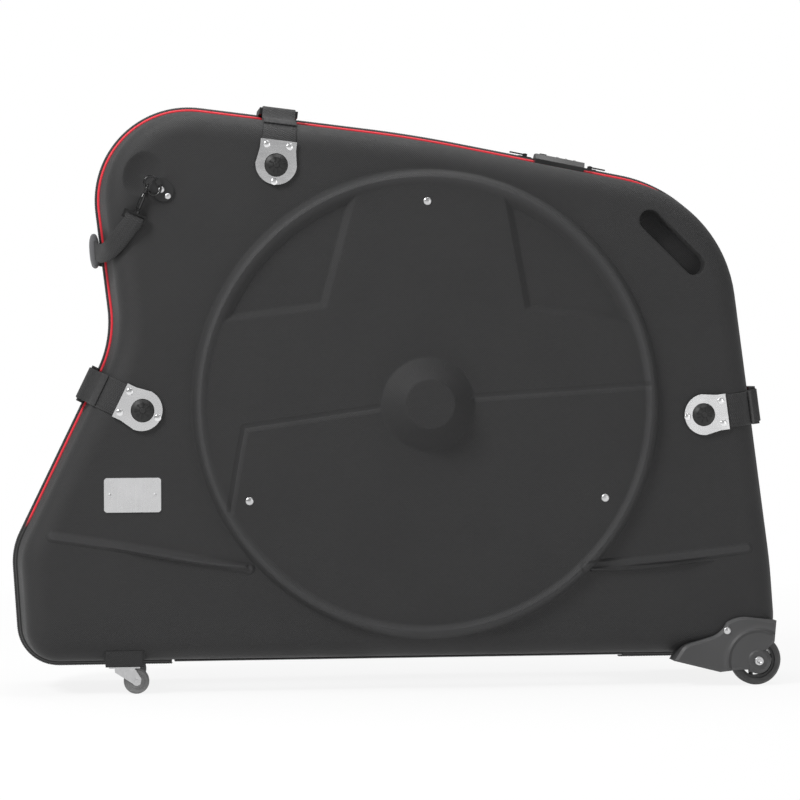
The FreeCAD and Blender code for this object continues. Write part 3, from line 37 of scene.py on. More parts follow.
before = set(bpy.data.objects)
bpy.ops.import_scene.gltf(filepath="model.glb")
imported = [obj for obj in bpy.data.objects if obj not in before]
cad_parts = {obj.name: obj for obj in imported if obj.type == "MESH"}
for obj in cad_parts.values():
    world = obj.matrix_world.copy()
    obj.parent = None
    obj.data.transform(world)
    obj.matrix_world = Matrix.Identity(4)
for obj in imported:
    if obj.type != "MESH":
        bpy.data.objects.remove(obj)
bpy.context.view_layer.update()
MM = 0.001

# Side outline of the case, clockwise from the low front corner: x, z and radius in millimetres
BASE_HEIGHT = 42
CORNERS = [
    (-567.5, BASE_HEIGHT, 56),
    (-578.5, 212, 95),
    (-426.5, 526, 174),
    (-470.5, 893, 136),
    (26.5, 834, 2000),
    (498.5, 744, 209),
    (571.5, 185, 800),
    (581.5, BASE_HEIGHT, 62),
]
FRONT_SLANT = CORNERS[1][:2], CORNERS[2][:2]
TOP_FRONT = CORNERS[3][:2], CORNERS[4][:2]
TOP_REAR = CORNERS[4][:2], CORNERS[5][:2]
REAR_SIDE = CORNERS[5][:2], CORNERS[6][:2]

HALF_DEPTH = 118
RIM_DEPTH = 12
FACE_ROUND = 36
DRAFT = math.tan(math.radians(6))
PANEL_HALF = 345
DISC = 34.5, 429
CREST_RADIUS = 339
DISC_RIVET_RADIUS = 303

# Places that small pieces sit on, seen from the side: x and z in millimetres
WHEEL_AXLE = 536.5, 38
HOUSING_RIVET = 488.5, 84
HAUL_PLATE = -356, 743.5
PIN_ROW = (-438.5, -372.5), 297
RAIL_BOLTS = (-150, -20, 165, 245), 68

# Lines pressed into the cover of the face: x and z in metres
RIGHT_FOLD = [(0.101, 0.438), (0.369, 0.455)]
LEFT_FOLD = [(-0.042, 0.423), (-0.239, 0.395), (-0.246, 0.361), (-0.261, 0.272)]
LEFT_RIB = [(-0.524, 0.237), (-0.44, 0.224), (-0.233, 0.186)]
RIGHT_RIB = [(0.272, 0.183), (0.42, 0.196), (0.521, 0.208)]
FOLD_WIDTH = 0.007
RIB_WIDTH = 0.009


def metres(place):
    return tuple(part * MM for part in place)


# Materials


class Paint:
    """Builds one node material."""

    def __init__(self, name):
        self.mat = bpy.data.materials.new(name)
        self.mat.use_nodes = True
        self.tree = self.mat.node_tree
        self.tree.nodes.clear()
        self.out = self.tree.nodes.new("ShaderNodeOutputMaterial")
        self.shader = self.tree.nodes.new("ShaderNodeBsdfPrincipled")
        self.tree.links.new(self.shader.outputs[0], self.out.inputs[0])
        self.coords = self.tree.nodes.new("ShaderNodeTexCoord")
        self.place = self.coords.outputs["Object"]
        self.normal = self.coords.outputs["Normal"]

    def use_band(self):
        """Coordinates that run across and along a strap instead of those of the case."""
        self.place = self.coords.outputs["UV"]

    def crease(self, points, width):
        """1 along a line of points (x, z) in metres, falling to 0 at that distance from it."""
        x, _, z = self.split(self.place)
        nearest = None
        for (ax, az), (bx, bz) in zip(points, points[1:]):
            dx, dz = bx - ax, bz - az
            size = dx * dx + dz * dz
            px, pz = self.math("SUBTRACT", x, ax), self.math("SUBTRACT", z, az)
            dot = self.products(px, dx / size, pz, dz / size)
            share = self.math("MINIMUM", self.math("MAXIMUM", dot, 0.0), 1.0)
            ox = self.math("SUBTRACT", px, self.math("MULTIPLY", share, dx))
            oz = self.math("SUBTRACT", pz, self.math("MULTIPLY", share, dz))
            squared = self.products(ox, ox, oz, oz)
            nearest = squared if nearest is None else self.math("MINIMUM", nearest, squared)
        return self.ramp(self.math("SQRT", nearest), 0.0, width, 1.0, 0.0)

    def ring(self, centre, radius, width):
        """1 on a circle about a centre (x, z) in metres, falling to 0 at that distance from it."""
        x, _, z = self.split(self.place)
        px, pz = self.math("SUBTRACT", x, centre[0]), self.math("SUBTRACT", z, centre[1])
        away = self.math("SQRT", self.products(px, px, pz, pz))
        return self.ramp(self.math("ABSOLUTE", self.math("SUBTRACT", away, radius)), 0.0, width, 1.0, 0.0)

    def soft_edges(self, radius):
        """Normals rounded over the edges of the moulded face, and left alone on the side band."""
        soft = self.tree.nodes.new("ShaderNodeBevel")
        soft.samples = 6
        soft.inputs["Radius"].default_value = radius
        plain = self.tree.nodes.new("ShaderNodeNewGeometry")
        depth = self.math("ABSOLUTE", self.split(self.place)[1])
        mix = self.tree.nodes.new("ShaderNodeMix")
        mix.data_type = "VECTOR"
        self.link(self.ramp(depth, 0.094, 0.102), mix.inputs[0])
        self.link(plain.outputs["Normal"], mix.inputs[4])
        self.link(soft.outputs[0], mix.inputs[5])
        return mix.outputs[1]

    def link(self, source, target):
        if isinstance(source, (int, float, tuple)):
            target.default_value = source
        else:
            self.tree.links.new(source, target)

    def math(self, operation, *values):
        node = self.tree.nodes.new("ShaderNodeMath")
        node.operation = operation
        for value, socket in zip(values, node.inputs):
            self.link(value, socket)
        return node.outputs[0]

    def products(self, a, b, c, d):
        """a * b + c * d"""
        return self.math("ADD", self.math("MULTIPLY", a, b), self.math("MULTIPLY", c, d))

    def split(self, vector):
        node = self.tree.nodes.new("ShaderNodeSeparateXYZ")
        self.link(vector, node.inputs[0])
        return node.outputs[:3]

    def noise(self, scale, detail=3.0, rough=0.5, stretch=None):
        node = self.tree.nodes.new("ShaderNodeTexNoise")
        node.inputs["Scale"].default_value = scale
        node.inputs["Detail"].default_value = detail
        node.inputs["Roughness"].default_value = rough
        source = self.place
        if stretch:
            mapping = self.tree.nodes.new("ShaderNodeMapping")
            mapping.inputs["Scale"].default_value = stretch
            self.link(source, mapping.inputs[0])
            source = mapping.outputs[0]
        self.link(source, node.inputs["Vector"])
        return node.outputs[0]

    def ramp(self, value, low, high, start=0.0, stop=1.0):
        node = self.tree.nodes.new("ShaderNodeMapRange")
        node.inputs["From Min"].default_value = low
        node.inputs["From Max"].default_value = high
        node.inputs["To Min"].default_value = start
        node.inputs["To Max"].default_value = stop
        self.link(value, node.inputs[0])
        return node.outputs[0]

    def mix(self, factor, first, second):
        node = self.tree.nodes.new("ShaderNodeMix")
        node.data_type = "RGBA"
        self.link(factor, node.inputs[0])
        self.link(first, node.inputs[6])
        self.link(second, node.inputs[7])
        return node.outputs[2]

    def bump(self, height, distance, strength=1.0, under=None):
        node = self.tree.nodes.new("ShaderNodeBump")
        node.inputs["Strength"].default_value = strength
        node.inputs["Distance"].default_value = distance
        self.link(height, node.inputs["Height"])
        if under is not None:
            self.link(under, node.inputs["Normal"])
        return node.outputs[0]

    def weave(self, pitch, second=None):
        """A plain weave of that pitch in metres, laid on whichever way the surface faces."""
        turns = [2 * math.pi / (pitch * 2), 2 * math.pi / ((second or pitch) * 2)]
        x, y, z = self.split(self.place)
        waves = {}
        for name, axis in zip("xyz", (x, y, z)):
            waves[name] = self.math("SINE", self.math("MULTIPLY", axis, turns[name == "z"]))
        nx, ny, nz = (self.math("ABSOLUTE", part) for part in self.split(self.normal))
        weights = [self.math("POWER", part, 4.0) for part in (nx, ny, nz)]
        total = self.math("ADD", self.math("ADD", weights[0], weights[1]), weights[2])
        pairs = (("y", "z"), ("x", "z"), ("x", "y"))
        parts = []
        for weight, (first, last) in zip(weights, pairs):
            cross = self.math("MULTIPLY", waves[first], waves[last])
            parts.append(self.math("MULTIPLY", cross, weight))
        whole = self.math("ADD", self.math("ADD", parts[0], parts[1]), parts[2])
        return self.math("DIVIDE", whole, total)

    def finish(self, color, rough, normal=None, **sockets):
        self.link(color, self.shader.inputs["Base Color"])
        self.link(rough, self.shader.inputs["Roughness"])
        if normal is not None:
            self.link(normal, self.shader.inputs["Normal"])
        for name, value in sockets.items():
            self.shader.inputs[name.replace("_", " ")].default_value = value
        return self.mat


def grey(level, blue=1.0):
    return (level, level, level * blue, 1.0)


def cloth(name, dark, light, pitch, depth, sheen=0.1, rough=0.75, blue=1.05):
    paint = Paint(name)
    woven = paint.weave(pitch)
    lift = paint.ramp(woven, -1, 1)
    drift = paint.ramp(paint.noise(9.0, 4.0), 0.35, 0.65)
    base = paint.mix(lift, grey(dark, blue), grey(light, blue))
    worn = paint.mix(paint.math("MULTIPLY", drift, 0.35), base, grey(light * 1.25, blue))
    fuzz = paint.noise(1400.0, 2.0)
    normal = paint.bump(fuzz, depth * 0.25, 0.5)
    normal = paint.bump(woven, depth, 0.8, normal)
    roughness = paint.ramp(drift, 0, 1, rough - 0.05, rough + 0.08)
    return paint.finish(worn, roughness, normal, Sheen_Weight=sheen, Sheen_Roughness=0.5)


def shell_cloth(name):
    """Woven cover with the soft creases that the moulding leaves inside the wheel disc, and a painted highlight
    along the crest ring and on the ribs.
    """
    paint = Paint(name)
    woven = paint.weave(0.0017)
    drift = paint.ramp(paint.noise(9.0, 4.0), 0.35, 0.65)
    base = paint.mix(paint.ramp(woven, -1, 1), grey(0.007, 1.03), grey(0.025, 1.03))
    color = paint.mix(paint.math("MULTIPLY", drift, 0.3), base, grey(0.027, 1.03))
    folds = paint.math("MAXIMUM", *(paint.crease(line, FOLD_WIDTH) for line in (RIGHT_FOLD, LEFT_FOLD)))
    ribs = paint.math("MAXIMUM", *(paint.crease(line, RIB_WIDTH) for line in (LEFT_RIB, RIGHT_RIB)))
    depth = paint.math("ABSOLUTE", paint.split(paint.place)[1])
    on_face = paint.ramp(depth, 0.100, 0.110)
    flat_topped = paint.math("SMOOTH_MIN", paint.math("MULTIPLY", ribs, 2.0), 1.0, 0.3)
    ribs = paint.math("MULTIPLY", flat_topped, on_face)
    # Painted highlight: the cloth is made lighter along the crest ring and on the ribs, standing in for light on
    # these raised edges. It is also made lighter along the folds.
    painted_highlight = paint.math("MULTIPLY", paint.ring(metres(DISC), CREST_RADIUS * MM, 0.011), on_face)
    painted_highlight = paint.math("MAXIMUM", painted_highlight, paint.math("MULTIPLY", ribs, 0.55))
    painted_highlight = paint.math("MAXIMUM", painted_highlight, paint.math("MULTIPLY", folds, 0.4))
    color = paint.mix(paint.math("MULTIPLY", painted_highlight, 0.42), color, grey(0.075, 1.03))
    soft = paint.soft_edges(0.006)
    normal = paint.bump(ribs, 0.005, 0.9, soft)
    normal = paint.bump(paint.math("MULTIPLY", folds, -1.0), 0.0035, 0.9, normal)
    normal = paint.bump(paint.noise(26.0, 3.0), 0.0011, 0.5, normal)
    normal = paint.bump(paint.noise(1400.0, 2.0), 0.00007, 0.5, normal)
    normal = paint.bump(woven, 0.0003, 0.8, normal)
    rough = paint.ramp(drift, 0, 1, 0.62, 0.74)
    return paint.finish(color, rough, normal, Sheen_Weight=0.06, Sheen_Roughness=0.4)


def red_cloth(name):
    """Piping cloth, red down to the low corners and black round the foot of the case."""
    paint = Paint(name)
    twist = paint.weave(0.0011, 0.0016)
    lift = paint.ramp(twist, -1, 1)
    red = paint.mix(lift, (0.62, 0.006, 0.018, 1), (0.92, 0.018, 0.045, 1))
    height = paint.split(paint.place)[2]
    color = paint.mix(paint.ramp(height, 0.245, 0.262), grey(0.012), red)
    return paint.finish(color, 0.5, paint.bump(twist, 0.0002, 0.7), Sheen_Weight=0.15)


def band_weave(name):
    """Herringbone webbing: slanted rows across the band, with a plain selvedge along each edge."""
    paint = Paint(name)
    paint.use_band()
    across, along, _ = paint.split(paint.place)
    half = paint.math("ABSOLUTE", across)
    repeat = paint.math("FRACT", paint.math("MULTIPLY", across, 160.0))
    chevron = paint.math("ABSOLUTE", paint.math("SUBTRACT", repeat, 0.5))
    slanted = paint.math("ADD", along, paint.math("MULTIPLY", chevron, 0.005))
    rows = paint.math("SINE", paint.math("MULTIPLY", slanted, 1900.0))
    cords = paint.math("SINE", paint.math("MULTIPLY", across, 3600.0))
    woven = paint.products(rows, 0.65, cords, 0.35)
    edge = paint.ramp(half, 0.0225, 0.0238)
    base = paint.mix(paint.ramp(woven, -1, 1), grey(0.004), grey(0.034, 1.04))
    color = paint.mix(paint.math("MULTIPLY", edge, 0.4), base, grey(0.03, 1.04))
    return paint.finish(color, 0.6, paint.bump(woven, 0.0005, 0.85), Sheen_Weight=0.05)


def plastic(name, level, rough, grain=900.0, depth=0.00008, blue=1.03):
    paint = Paint(name)
    patch = paint.ramp(paint.noise(14.0, 3.0), 0.3, 0.7)
    color = paint.mix(patch, grey(level * 0.9, blue), grey(level * 1.12, blue))
    grainy = paint.noise(grain, 2.0, 0.6)
    roughness = paint.ramp(patch, 0, 1, rough - 0.05, rough + 0.06)
    return paint.finish(color, roughness, paint.bump(grainy, depth, 0.6))


def housing_plastic(name):
    """Moulded grey plastic with round steps about the axle, and a painted highlight ring on the edge of the step.
    """
    paint = Paint(name)
    patch = paint.ramp(paint.noise(14.0, 3.0), 0.3, 0.7)
    axle = metres(WHEEL_AXLE)
    steps = paint.math("ADD", paint.ring(axle, 0.0, 0.062), paint.ring(axle, 0.046, 0.004))
    # Painted highlight: a lighter ring of colour along the step's edge, 50 mm from the axle.
    edge = paint.math("MULTIPLY", paint.ring(axle, 0.05, 0.006), 0.3)
    color = paint.mix(patch, grey(0.052, 1.02), grey(0.066, 1.02))
    color = paint.mix(edge, color, grey(0.11, 1.02))
    normal = paint.bump(steps, 0.004, 0.8)
    normal = paint.bump(paint.noise(700.0, 2.0, 0.6), 0.00012, 0.6, normal)
    return paint.finish(color, paint.ramp(patch, 0, 1, 0.44, 0.56), normal)


def metal(name, level, rough, stretch=(900, 900, 25), depth=0.00003, blue=1.01, scratch=0.35):
    paint = Paint(name)
    lines = paint.noise(1.0, 3.0, 0.65, stretch)
    smudge = paint.ramp(paint.noise(22.0, 3.0), 0.35, 0.65)
    color = paint.mix(smudge, grey(level * 0.92, blue), grey(level, blue))
    brushed = paint.ramp(lines, 0.3, 0.7, rough * (1 - scratch), rough * (1 + scratch))
    roughness = paint.math("ADD", brushed, paint.math("MULTIPLY", smudge, 0.05))
    return paint.finish(color, roughness, paint.bump(lines, depth, 0.4), Metallic=1.0)


def rubber(name, level, rough=0.6):
    paint = Paint(name)
    dust = paint.ramp(paint.noise(60.0, 4.0), 0.45, 0.75)
    color = paint.mix(dust, grey(level), grey(level * 1.5))
    normal = paint.bump(paint.noise(500.0, 3.0), 0.0001, 0.5)
    return paint.finish(color, paint.ramp(dust, 0, 1, rough, rough + 0.2), normal)


SHELL = shell_cloth("shell_cloth")
BAND = band_weave("webbing_rows")
LINING = cloth("lining_cloth", 0.07, 0.11, 0.0012, 0.00012, sheen=0.2)
WEB = cloth("webbing_weave", 0.008, 0.026, 0.0016, 0.0003, sheen=0.08, rough=0.62)
TAPE = cloth("zip_tape_weave", 0.006, 0.018, 0.0011, 0.00015, sheen=0.05)
GRIP = cloth("grip_cloth", 0.06, 0.15, 0.0014, 0.0002, sheen=0.15)
RED = red_cloth("red_piping_cloth")
THREAD = cloth("stitch_thread", 0.03, 0.07, 0.0006, 0.0001, sheen=0.1, rough=0.5)
TEETH = plastic("zip_teeth", 0.02, 0.35, 2500.0, 0.00002)
BUCKLE = plastic("buckle_plastic", 0.016, 0.38)
HOUSING = housing_plastic("housing_plastic")
SPOKES = plastic("wheel_centre_plastic", 0.014, 0.42)
STIFF = plastic("stiffener_sheet", 0.05, 0.5)
BLOCK = plastic("cradle_foam", 0.03, 0.7, 400.0, 0.0002)
LOCK = plastic("lock_case_black", 0.012, 0.3, 1800.0, 0.00003)
DOME = rubber("bumper_rubber", 0.012, 0.45)
TREAD = rubber("wheel_rubber", 0.055, 0.62)
ROLLER = rubber("caster_rubber", 0.2, 0.55)
BRIGHT = metal("polished_steel", 0.86, 0.24, (40, 260, 260), 0.000008, scratch=0.12)
BLACK_METAL = metal("black_steel", 0.06, 0.2, (200, 200, 200), 0.00001)
ZINC = metal("zinc_steel", 0.66, 0.33, (300, 300, 300))
ALLOY = metal("brushed_alloy", 0.7, 0.34, (18, 900, 900))
TAG = metal("name_plate_steel", 0.8, 0.27, (900, 900, 14), 0.00004)
DIAL = metal("dial_metal", 0.4, 0.35, (400, 400, 400))
INK = plastic("digit_ink", 0.7, 0.5)

BY_NAME = {
    "side_band": SHELL, "face_pan": SHELL, "piping": RED, "zip": TAPE, "disc_plate": STIFF, "strap_plates": BRIGHT,
    "bumpers": DOME, "webbing": WEB, "buckles": BUCKLE, "wheel_housing": HOUSING, "wheel_axle": ZINC,
    "wheel_rim": SPOKES, "wheel_tyre": TREAD, "caster_plate": ZINC, "caster_fork": ZINC, "caster_wheel": ROLLER,
    "haul_plate": BUCKLE, "haul_ring": BLACK_METAL, "haul_hook": BLACK_METAL, "haul_web": WEB, "base_panel": ALLOY,
    "base_hinge_strips": WEB, "base_rail": ALLOY, "fork_mount": ALLOY, "fork_skewer": BRIGHT,
    "skewer_lever": ALLOY, "frame_cradle": BLOCK, "padded_divider": LINING, "name_plate": TAG, "lock_case": LOCK,
    "lock_button": BLACK_METAL, "lock_dial_1": DIAL, "lock_dial_2": DIAL, "lock_dial_3": DIAL,
    "zip_slider_left": BLACK_METAL, "zip_pull_left": BLACK_METAL, "zip_slider_right": BLACK_METAL,
    "zip_pull_right": BLACK_METAL, "haul_grip": GRIP,
}

for node_name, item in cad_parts.items():
    plain = node_name.removeprefix("near_").removeprefix("far_")
    item.data.materials.clear()
    item.data.materials.append(BY_NAME[plain])


# Mesh helpers


def add_mesh(name, verts, faces, body, slot, material, smooth=True, replaces=(), marks=None):
    mesh = bpy.data.meshes.new(name)
    mesh.from_pydata([tuple(v) for v in verts], [], faces)
    mesh.update()
    shaped = bmesh.new()
    shaped.from_mesh(mesh)
    bmesh.ops.recalc_face_normals(shaped, faces=shaped.faces)
    shaped.to_mesh(mesh)
    shaped.free()
    if marks:
        layer = mesh.uv_layers.new(name="band")
        for loop in mesh.loops:
            layer.data[loop.index].uv = marks[loop.vertex_index]
    item = bpy.data.objects.new(name, mesh)
    bpy.context.scene.collection.objects.link(item)
    mesh.materials.append(material)
    if smooth:
        mesh.shade_smooth()
    if body:
        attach(item, body)
    if replaces:
        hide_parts(*replaces)
    return item


BAND_SECTION = [(-1, -0.4), (-0.965, -1), (-0.33, -1), (0.33, -1), (0.965, -1), (1, -0.4)]
BAND_SECTION += [(-u, -t) for u, t in BAND_SECTION]


class Shape:
    """Collects the corners and faces of one mesh."""

    def __init__(self):
        self.verts = []
        self.faces = []
        self.marks = []

    def grid(self, rows, closed_rows=False, closed_columns=True, cap=True):
        """Faces between rows of points; each row is a loop if closed_columns."""
        start = len(self.verts)
        wide = len(rows[0])
        for row in rows:
            self.verts.extend(row)
        count = len(rows)
        for r in range(count if closed_rows else count - 1):
            for c in range(wide if closed_columns else wide - 1):
                a = start + r * wide + c
                b = start + r * wide + (c + 1) % wide
                d = start + ((r + 1) % count) * wide + c
                e = start + ((r + 1) % count) * wide + (c + 1) % wide
                self.faces.append((a, b, e, d))
        if cap and closed_columns and not closed_rows:
            self.faces.append(tuple(range(start + wide - 1, start - 1, -1)))
            last = start + (count - 1) * wide
            self.faces.append(tuple(range(last, last + wide)))

    def block(self, centre, along, across, up, sizes, bevel=0.0):
        """A box with its axes along three directions, with its top edges drawn in by bevel."""
        start = len(self.verts)
        for level, shrink in ((-1, 0.0), (1 - 2 * bevel, 0.0), (1, bevel)):
            for sa, sb in ((-1, -1), (1, -1), (1, 1), (-1, 1)):
                point = centre + along * (sa * sizes[0] / 2 * (1 - shrink))
                point = point + across * (sb * sizes[1] / 2 * (1 - shrink)) + up * (level * sizes[2] / 2)
                self.verts.append(point)
        self.faces.append((start + 3, start + 2, start + 1, start))
        for ring in (0, 4):
            for c in range(4):
                n = (c + 1) % 4
                self.faces.append((start + ring + c, start + ring + n, start + ring + 4 + n, start + ring + 4 + c))
        self.faces.append((start + 8, start + 9, start + 10, start + 11))

    def turn(self, centre, axis, profile, count=24):
        """A turned piece, its profile given as (radius, height along the axis) from rim to middle."""
        axis = axis.normalized()
        first = axis.orthogonal().normalized()
        second = axis.cross(first)
        rows = []
        for radius, height in profile:
            ring = []
            for k in range(count):
                angle = 2 * math.pi * k / count
                spoke = first * math.cos(angle) + second * math.sin(angle)
                ring.append(centre + spoke * radius + axis * height)
            rows.append(ring)
        self.grid(rows)

    def ribbon(self, centres, across, width, thick):
        """A flat band along a line of points, with soft edges."""
        rows = []
        run = 0.0
        for i, centre in enumerate(centres):
            before, after = centres[max(i - 1, 0)], centres[min(i + 1, len(centres) - 1)]
            side = across[i].normalized()
            up = side.cross(after - before).normalized()
            run += (centre - centres[i - 1]).length if i else 0.0
            row = []
            for u, t in BAND_SECTION:
                row.append(centre + side * (u * width / 2) + up * (t * thick / 2))
                self.marks.append((u * width / 2, run))
            rows.append(row)
        self.grid(rows)

    def add(self, name, body, slot, material, **more):
        marks = self.marks if len(self.marks) == len(self.verts) else None
        return add_mesh(name, self.verts, self.faces, body, slot, material, marks=marks, **more)


def fillet_path(corners, inset=0.0, step=6.0):
    """Points (x, z, normal x, normal z) round the outline, clockwise, moved inwards by inset."""
    count = len(corners)
    places = [Vector((x, z)) for x, z, _ in corners]
    along = [(places[(i + 1) % count] - places[i]).normalized() for i in range(count)]
    samples = []
    pieces = []
    for i in range(count):
        before, after = along[i - 1], along[i]
        cross = before.x * after.y - before.y * after.x
        radius = corners[i][2] - inset if cross < 0 else corners[i][2] + inset
        half = before.angle(after) / 2
        inward = [Vector((before.y, -before.x)), Vector((after.y, -after.x))]
        split = (inward[0] + inward[1]).normalized()
        tip = places[i] + split * (inset / math.cos(half))
        reach = radius * math.tan(half)
        side = 1 if cross < 0 else -1
        centre = tip + split * (side * radius / math.cos(half))
        pieces.append((tip - before * reach, tip + after * reach, centre, radius, side, half))
    for i in range(count):
        first, last, centre, radius, side, half = pieces[i]
        steps = max(2, math.ceil(radius * 2 * half / step))
        start = math.atan2(first.y - centre.y, first.x - centre.x)
        for k in range(steps):
            angle = start - side * 2 * half * k / steps
            point = centre + Vector((math.cos(angle), math.sin(angle))) * radius
            normal = Vector((math.cos(angle), math.sin(angle))) * side
            samples.append((point, normal))
        following = pieces[(i + 1) % count][0]
        run = following - last
        steps = max(1, math.ceil(run.length / step))
        normal = Vector((-along[i].y, along[i].x))
        for k in range(steps):
            samples.append((last + run * (k / steps), normal))
    return samples


def open_rim(step=6.0):
    """The outline from the base panel's right end, round the case to its left end."""
    samples = fillet_path(CORNERS, 0.0, step)
    kept = [s for s in samples if not (abs(s[0].x) < PANEL_HALF and s[0].y < BASE_HEIGHT + 1)]
    start = max(range(len(kept)), key=lambda i: (kept[i][0] - kept[i - 1][0]).length)
    kept = kept[start:] + kept[:start]
    down = Vector((0, -1))
    ends = [(Vector((-PANEL_HALF, BASE_HEIGHT)), down), (Vector((PANEL_HALF, BASE_HEIGHT)), down)]
    return [ends[0]] + kept + [ends[1]] if kept[0][0].x < 0 else [ends[1]] + kept + [ends[0]]


def spaced(samples, pitch, shift=0.0):
    """The samples of a path again, at an even pitch along it, with the direction of the path."""
    points = np.array([[s[0].x, s[0].y, s[1].x, s[1].y] for s in samples])
    run = np.concatenate([[0], np.cumsum(np.hypot(*np.diff(points[:, :2], axis=0).T))])
    places = np.arange(shift, run[-1], pitch)
    return np.stack([np.interp(places, run, points[:, k]) for k in range(4)], axis=1)


def rim_band(name, section, body, slot, material, samples, replaces=(), sign=1):
    """A band along the rim. Its section is a loop of (outset, depth), in millimetres."""
    rows = []
    for point, normal in samples:
        row = []
        for outset, depth in section:
            spot = point + normal * outset
            row.append(Vector((spot.x, -depth * sign, spot.y)) * MM)
        rows.append(row if sign > 0 else row[::-1])
    shape = Shape()
    shape.grid(rows)
    return shape.add(name, body, slot, material, replaces=replaces)


def round_section(outset, depth, radius, count=12):
    loop = []
    for k in range(count):
        angle = 2 * math.pi * k / count
        loop.append((outset + radius * math.cos(angle), depth + radius * math.sin(angle)))
    return loop


RIM = open_rim()
HALVES = (("near", 1), ("far", -1))

# Piping cord, without its sewn flange, and the zip's tape, teeth and stitches
for hand, sign in HALVES:
    body = f"{hand}_half"
    cord = round_section(0.8, 9.4, 2.6)
    rim_band(f"{hand}_piping_cord", cord, body, "red_piping", RED, RIM, (f"{hand}_piping",), sign)
    tape = [(-2.0, 0.2), (3.0, 0.2), (5.6, 1.4), (6.2, 4.2), (4.4, 6.4), (-2.0, 7.0)]
    rim_band(f"{hand}_zip_tape", tape, body, "zip_tape", TAPE, RIM, (f"{hand}_zip",), sign)
    teeth = Shape()
    pitch = 2.6
    for x, z, nx, nz in spaced(RIM, pitch, 0.6 if sign > 0 else 0.6 + pitch / 2):
        normal = Vector((nx, 0, nz)).normalized()
        along = Vector((nz, 0, -nx)).normalized()
        centre = (Vector((x, 0, z)) + normal * 5.9 + Vector((0, -sign * 1.3, 0))) * MM
        teeth.block(centre, along, Vector((0, 1, 0)), normal, (0.00115, 0.0040, 0.0026), 0.25)
    teeth.add(f"{hand}_zip_teeth", body, "zip_tape", TEETH, smooth=False)
    seam = Shape()
    for x, z, nx, nz in spaced(RIM, 4.2):
        normal = Vector((nx, 0, nz)).normalized()
        along = Vector((nz, 0, -nx)).normalized()
        centre = (Vector((x, 0, z)) + normal * 6.1 + Vector((0, -sign * 3.6, 0))) * MM
        seam.block(centre, along, Vector((0, 1, 0)), normal, (0.0028, 0.0006, 0.0005), 0.3)
    seam.add(f"{hand}_zip_stitches", body, "zip_tape", THREAD, smooth=False)


# Compression straps: webbing, rivets, bumper ribs and buckle grips


def smooth_line(points, steps=6):
    """More points on a smooth curve through the given ones (tuples of any length)."""
    points = [np.array(p, dtype=float) for p in points]
    padded = [points[0] * 2 - points[1]] + points + [points[-1] * 2 - points[-2]]
    line = []
    for a, b, c, d in zip(padded, padded[1:], padded[2:], padded[3:]):
        for k in range(steps):
            t = k / steps
            bend = (2 * a - 5 * b + 4 * c - d) * t**2
            line.append(0.5 * (2 * b + (c - a) * t + bend + (3 * b - a - 3 * c + d) * t**3))
    line.append(points[-1])
    return line


def strap_frame(side, x=None, z=None):
    """Origin, direction along the side and outward direction of a strap on a straight side."""
    (x0, z0), (x1, z1) = side
    share = (x - x0) / (x1 - x0) if z is None else (z - z0) / (z1 - z0)
    along = Vector((x1 - x0, 0, z1 - z0)).normalized()
    origin = Vector((x0 + (x1 - x0) * share, 0, z0 + (z1 - z0) * share))
    return origin, along, Vector((-along.z, 0, along.x))


STRAPS = {
    "top": (strap_frame(TOP_FRONT, x=-182), 74),
    "front": (strap_frame(FRONT_SLANT, z=456), 78),
    "rear": (strap_frame(REAR_SIDE, z=422), 87),
}
BEND_DEPTH = HALF_DEPTH - FACE_ROUND
BEND_OUT = -((BEND_DEPTH - RIM_DEPTH) * DRAFT + FACE_ROUND / math.cos(math.atan(DRAFT)))
PLATE_TOP = 122.4


def on_strap(strap, across, depth, out, sign):
    """A place in metres from a strap's own measures in millimetres."""
    origin, along, outward = strap
    spot = origin + along * across + outward * out
    return Vector((spot.x, -sign * depth, spot.z)) * MM


def slope_point(depth, gap):
    return depth, gap - (depth - RIM_DEPTH) * DRAFT


def strap_run(reach):
    """Depth and outward distance along one webbing, from under its plate, through the buckle and back."""
    gap = 1.3
    points = [(HALF_DEPTH + gap, out) for out in np.linspace(-(reach - 22.9), BEND_OUT, 4)[:-1]]
    for angle in range(0, 85, 7):
        turn = math.radians(angle)
        radius = FACE_ROUND + gap
        points.append((BEND_DEPTH + radius * math.cos(turn), BEND_OUT + radius * math.sin(turn)))
    points += [slope_point(70, gap), slope_point(60, gap + 0.2), (52, 0.6), (46, 6.6), (40.5, 11.0), (36, 11.3)]
    points += [(31.5, 11.6), (28.9, 14.3), (31.3, 17.3), (37, 17.8), (43.5, 15.6), (49.5, 7.2), (56, 1.2)]
    points += [slope_point(64, gap + 2.5), slope_point(75, gap + 2.4)]
    radius = FACE_ROUND + gap + 2.4
    for angle in (78, 66, 54):
        turn = math.radians(angle)
        points.append((BEND_DEPTH + radius * math.cos(turn), BEND_OUT + radius * math.sin(turn)))
    return smooth_line(points, 4)


RIVET = [(1.0, 0.0), (1.0, 0.12), (0.93, 0.42), (0.74, 0.72), (0.42, 0.93), (0.12, 1.0)]


def rivet(shape, centre, sign, radius=6.3, height=2.3):
    profile = [(r * radius * MM, h * height * MM) for r, h in RIVET]
    shape.turn(centre, Vector((0, -sign, 0)), profile)


def stitch_row(shape, start, stop, up, pitch=3.2, size=(2.1, 0.55, 0.5)):
    """Stitches between two places given in metres."""
    run = stop - start
    along = run.normalized()
    across = along.cross(up).normalized()
    count = max(1, round(run.length / (pitch * MM)))
    for k in range(count):
        centre = start + run * ((k + 0.5) / count)
        shape.block(centre, along, across, up, [v * MM for v in size], 0.3)


def node_tree(name):
    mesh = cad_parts[name].data
    return BVHTree.FromPolygons([v.co for v in mesh.vertices], [tuple(p.vertices) for p in mesh.polygons])


TREES = {}


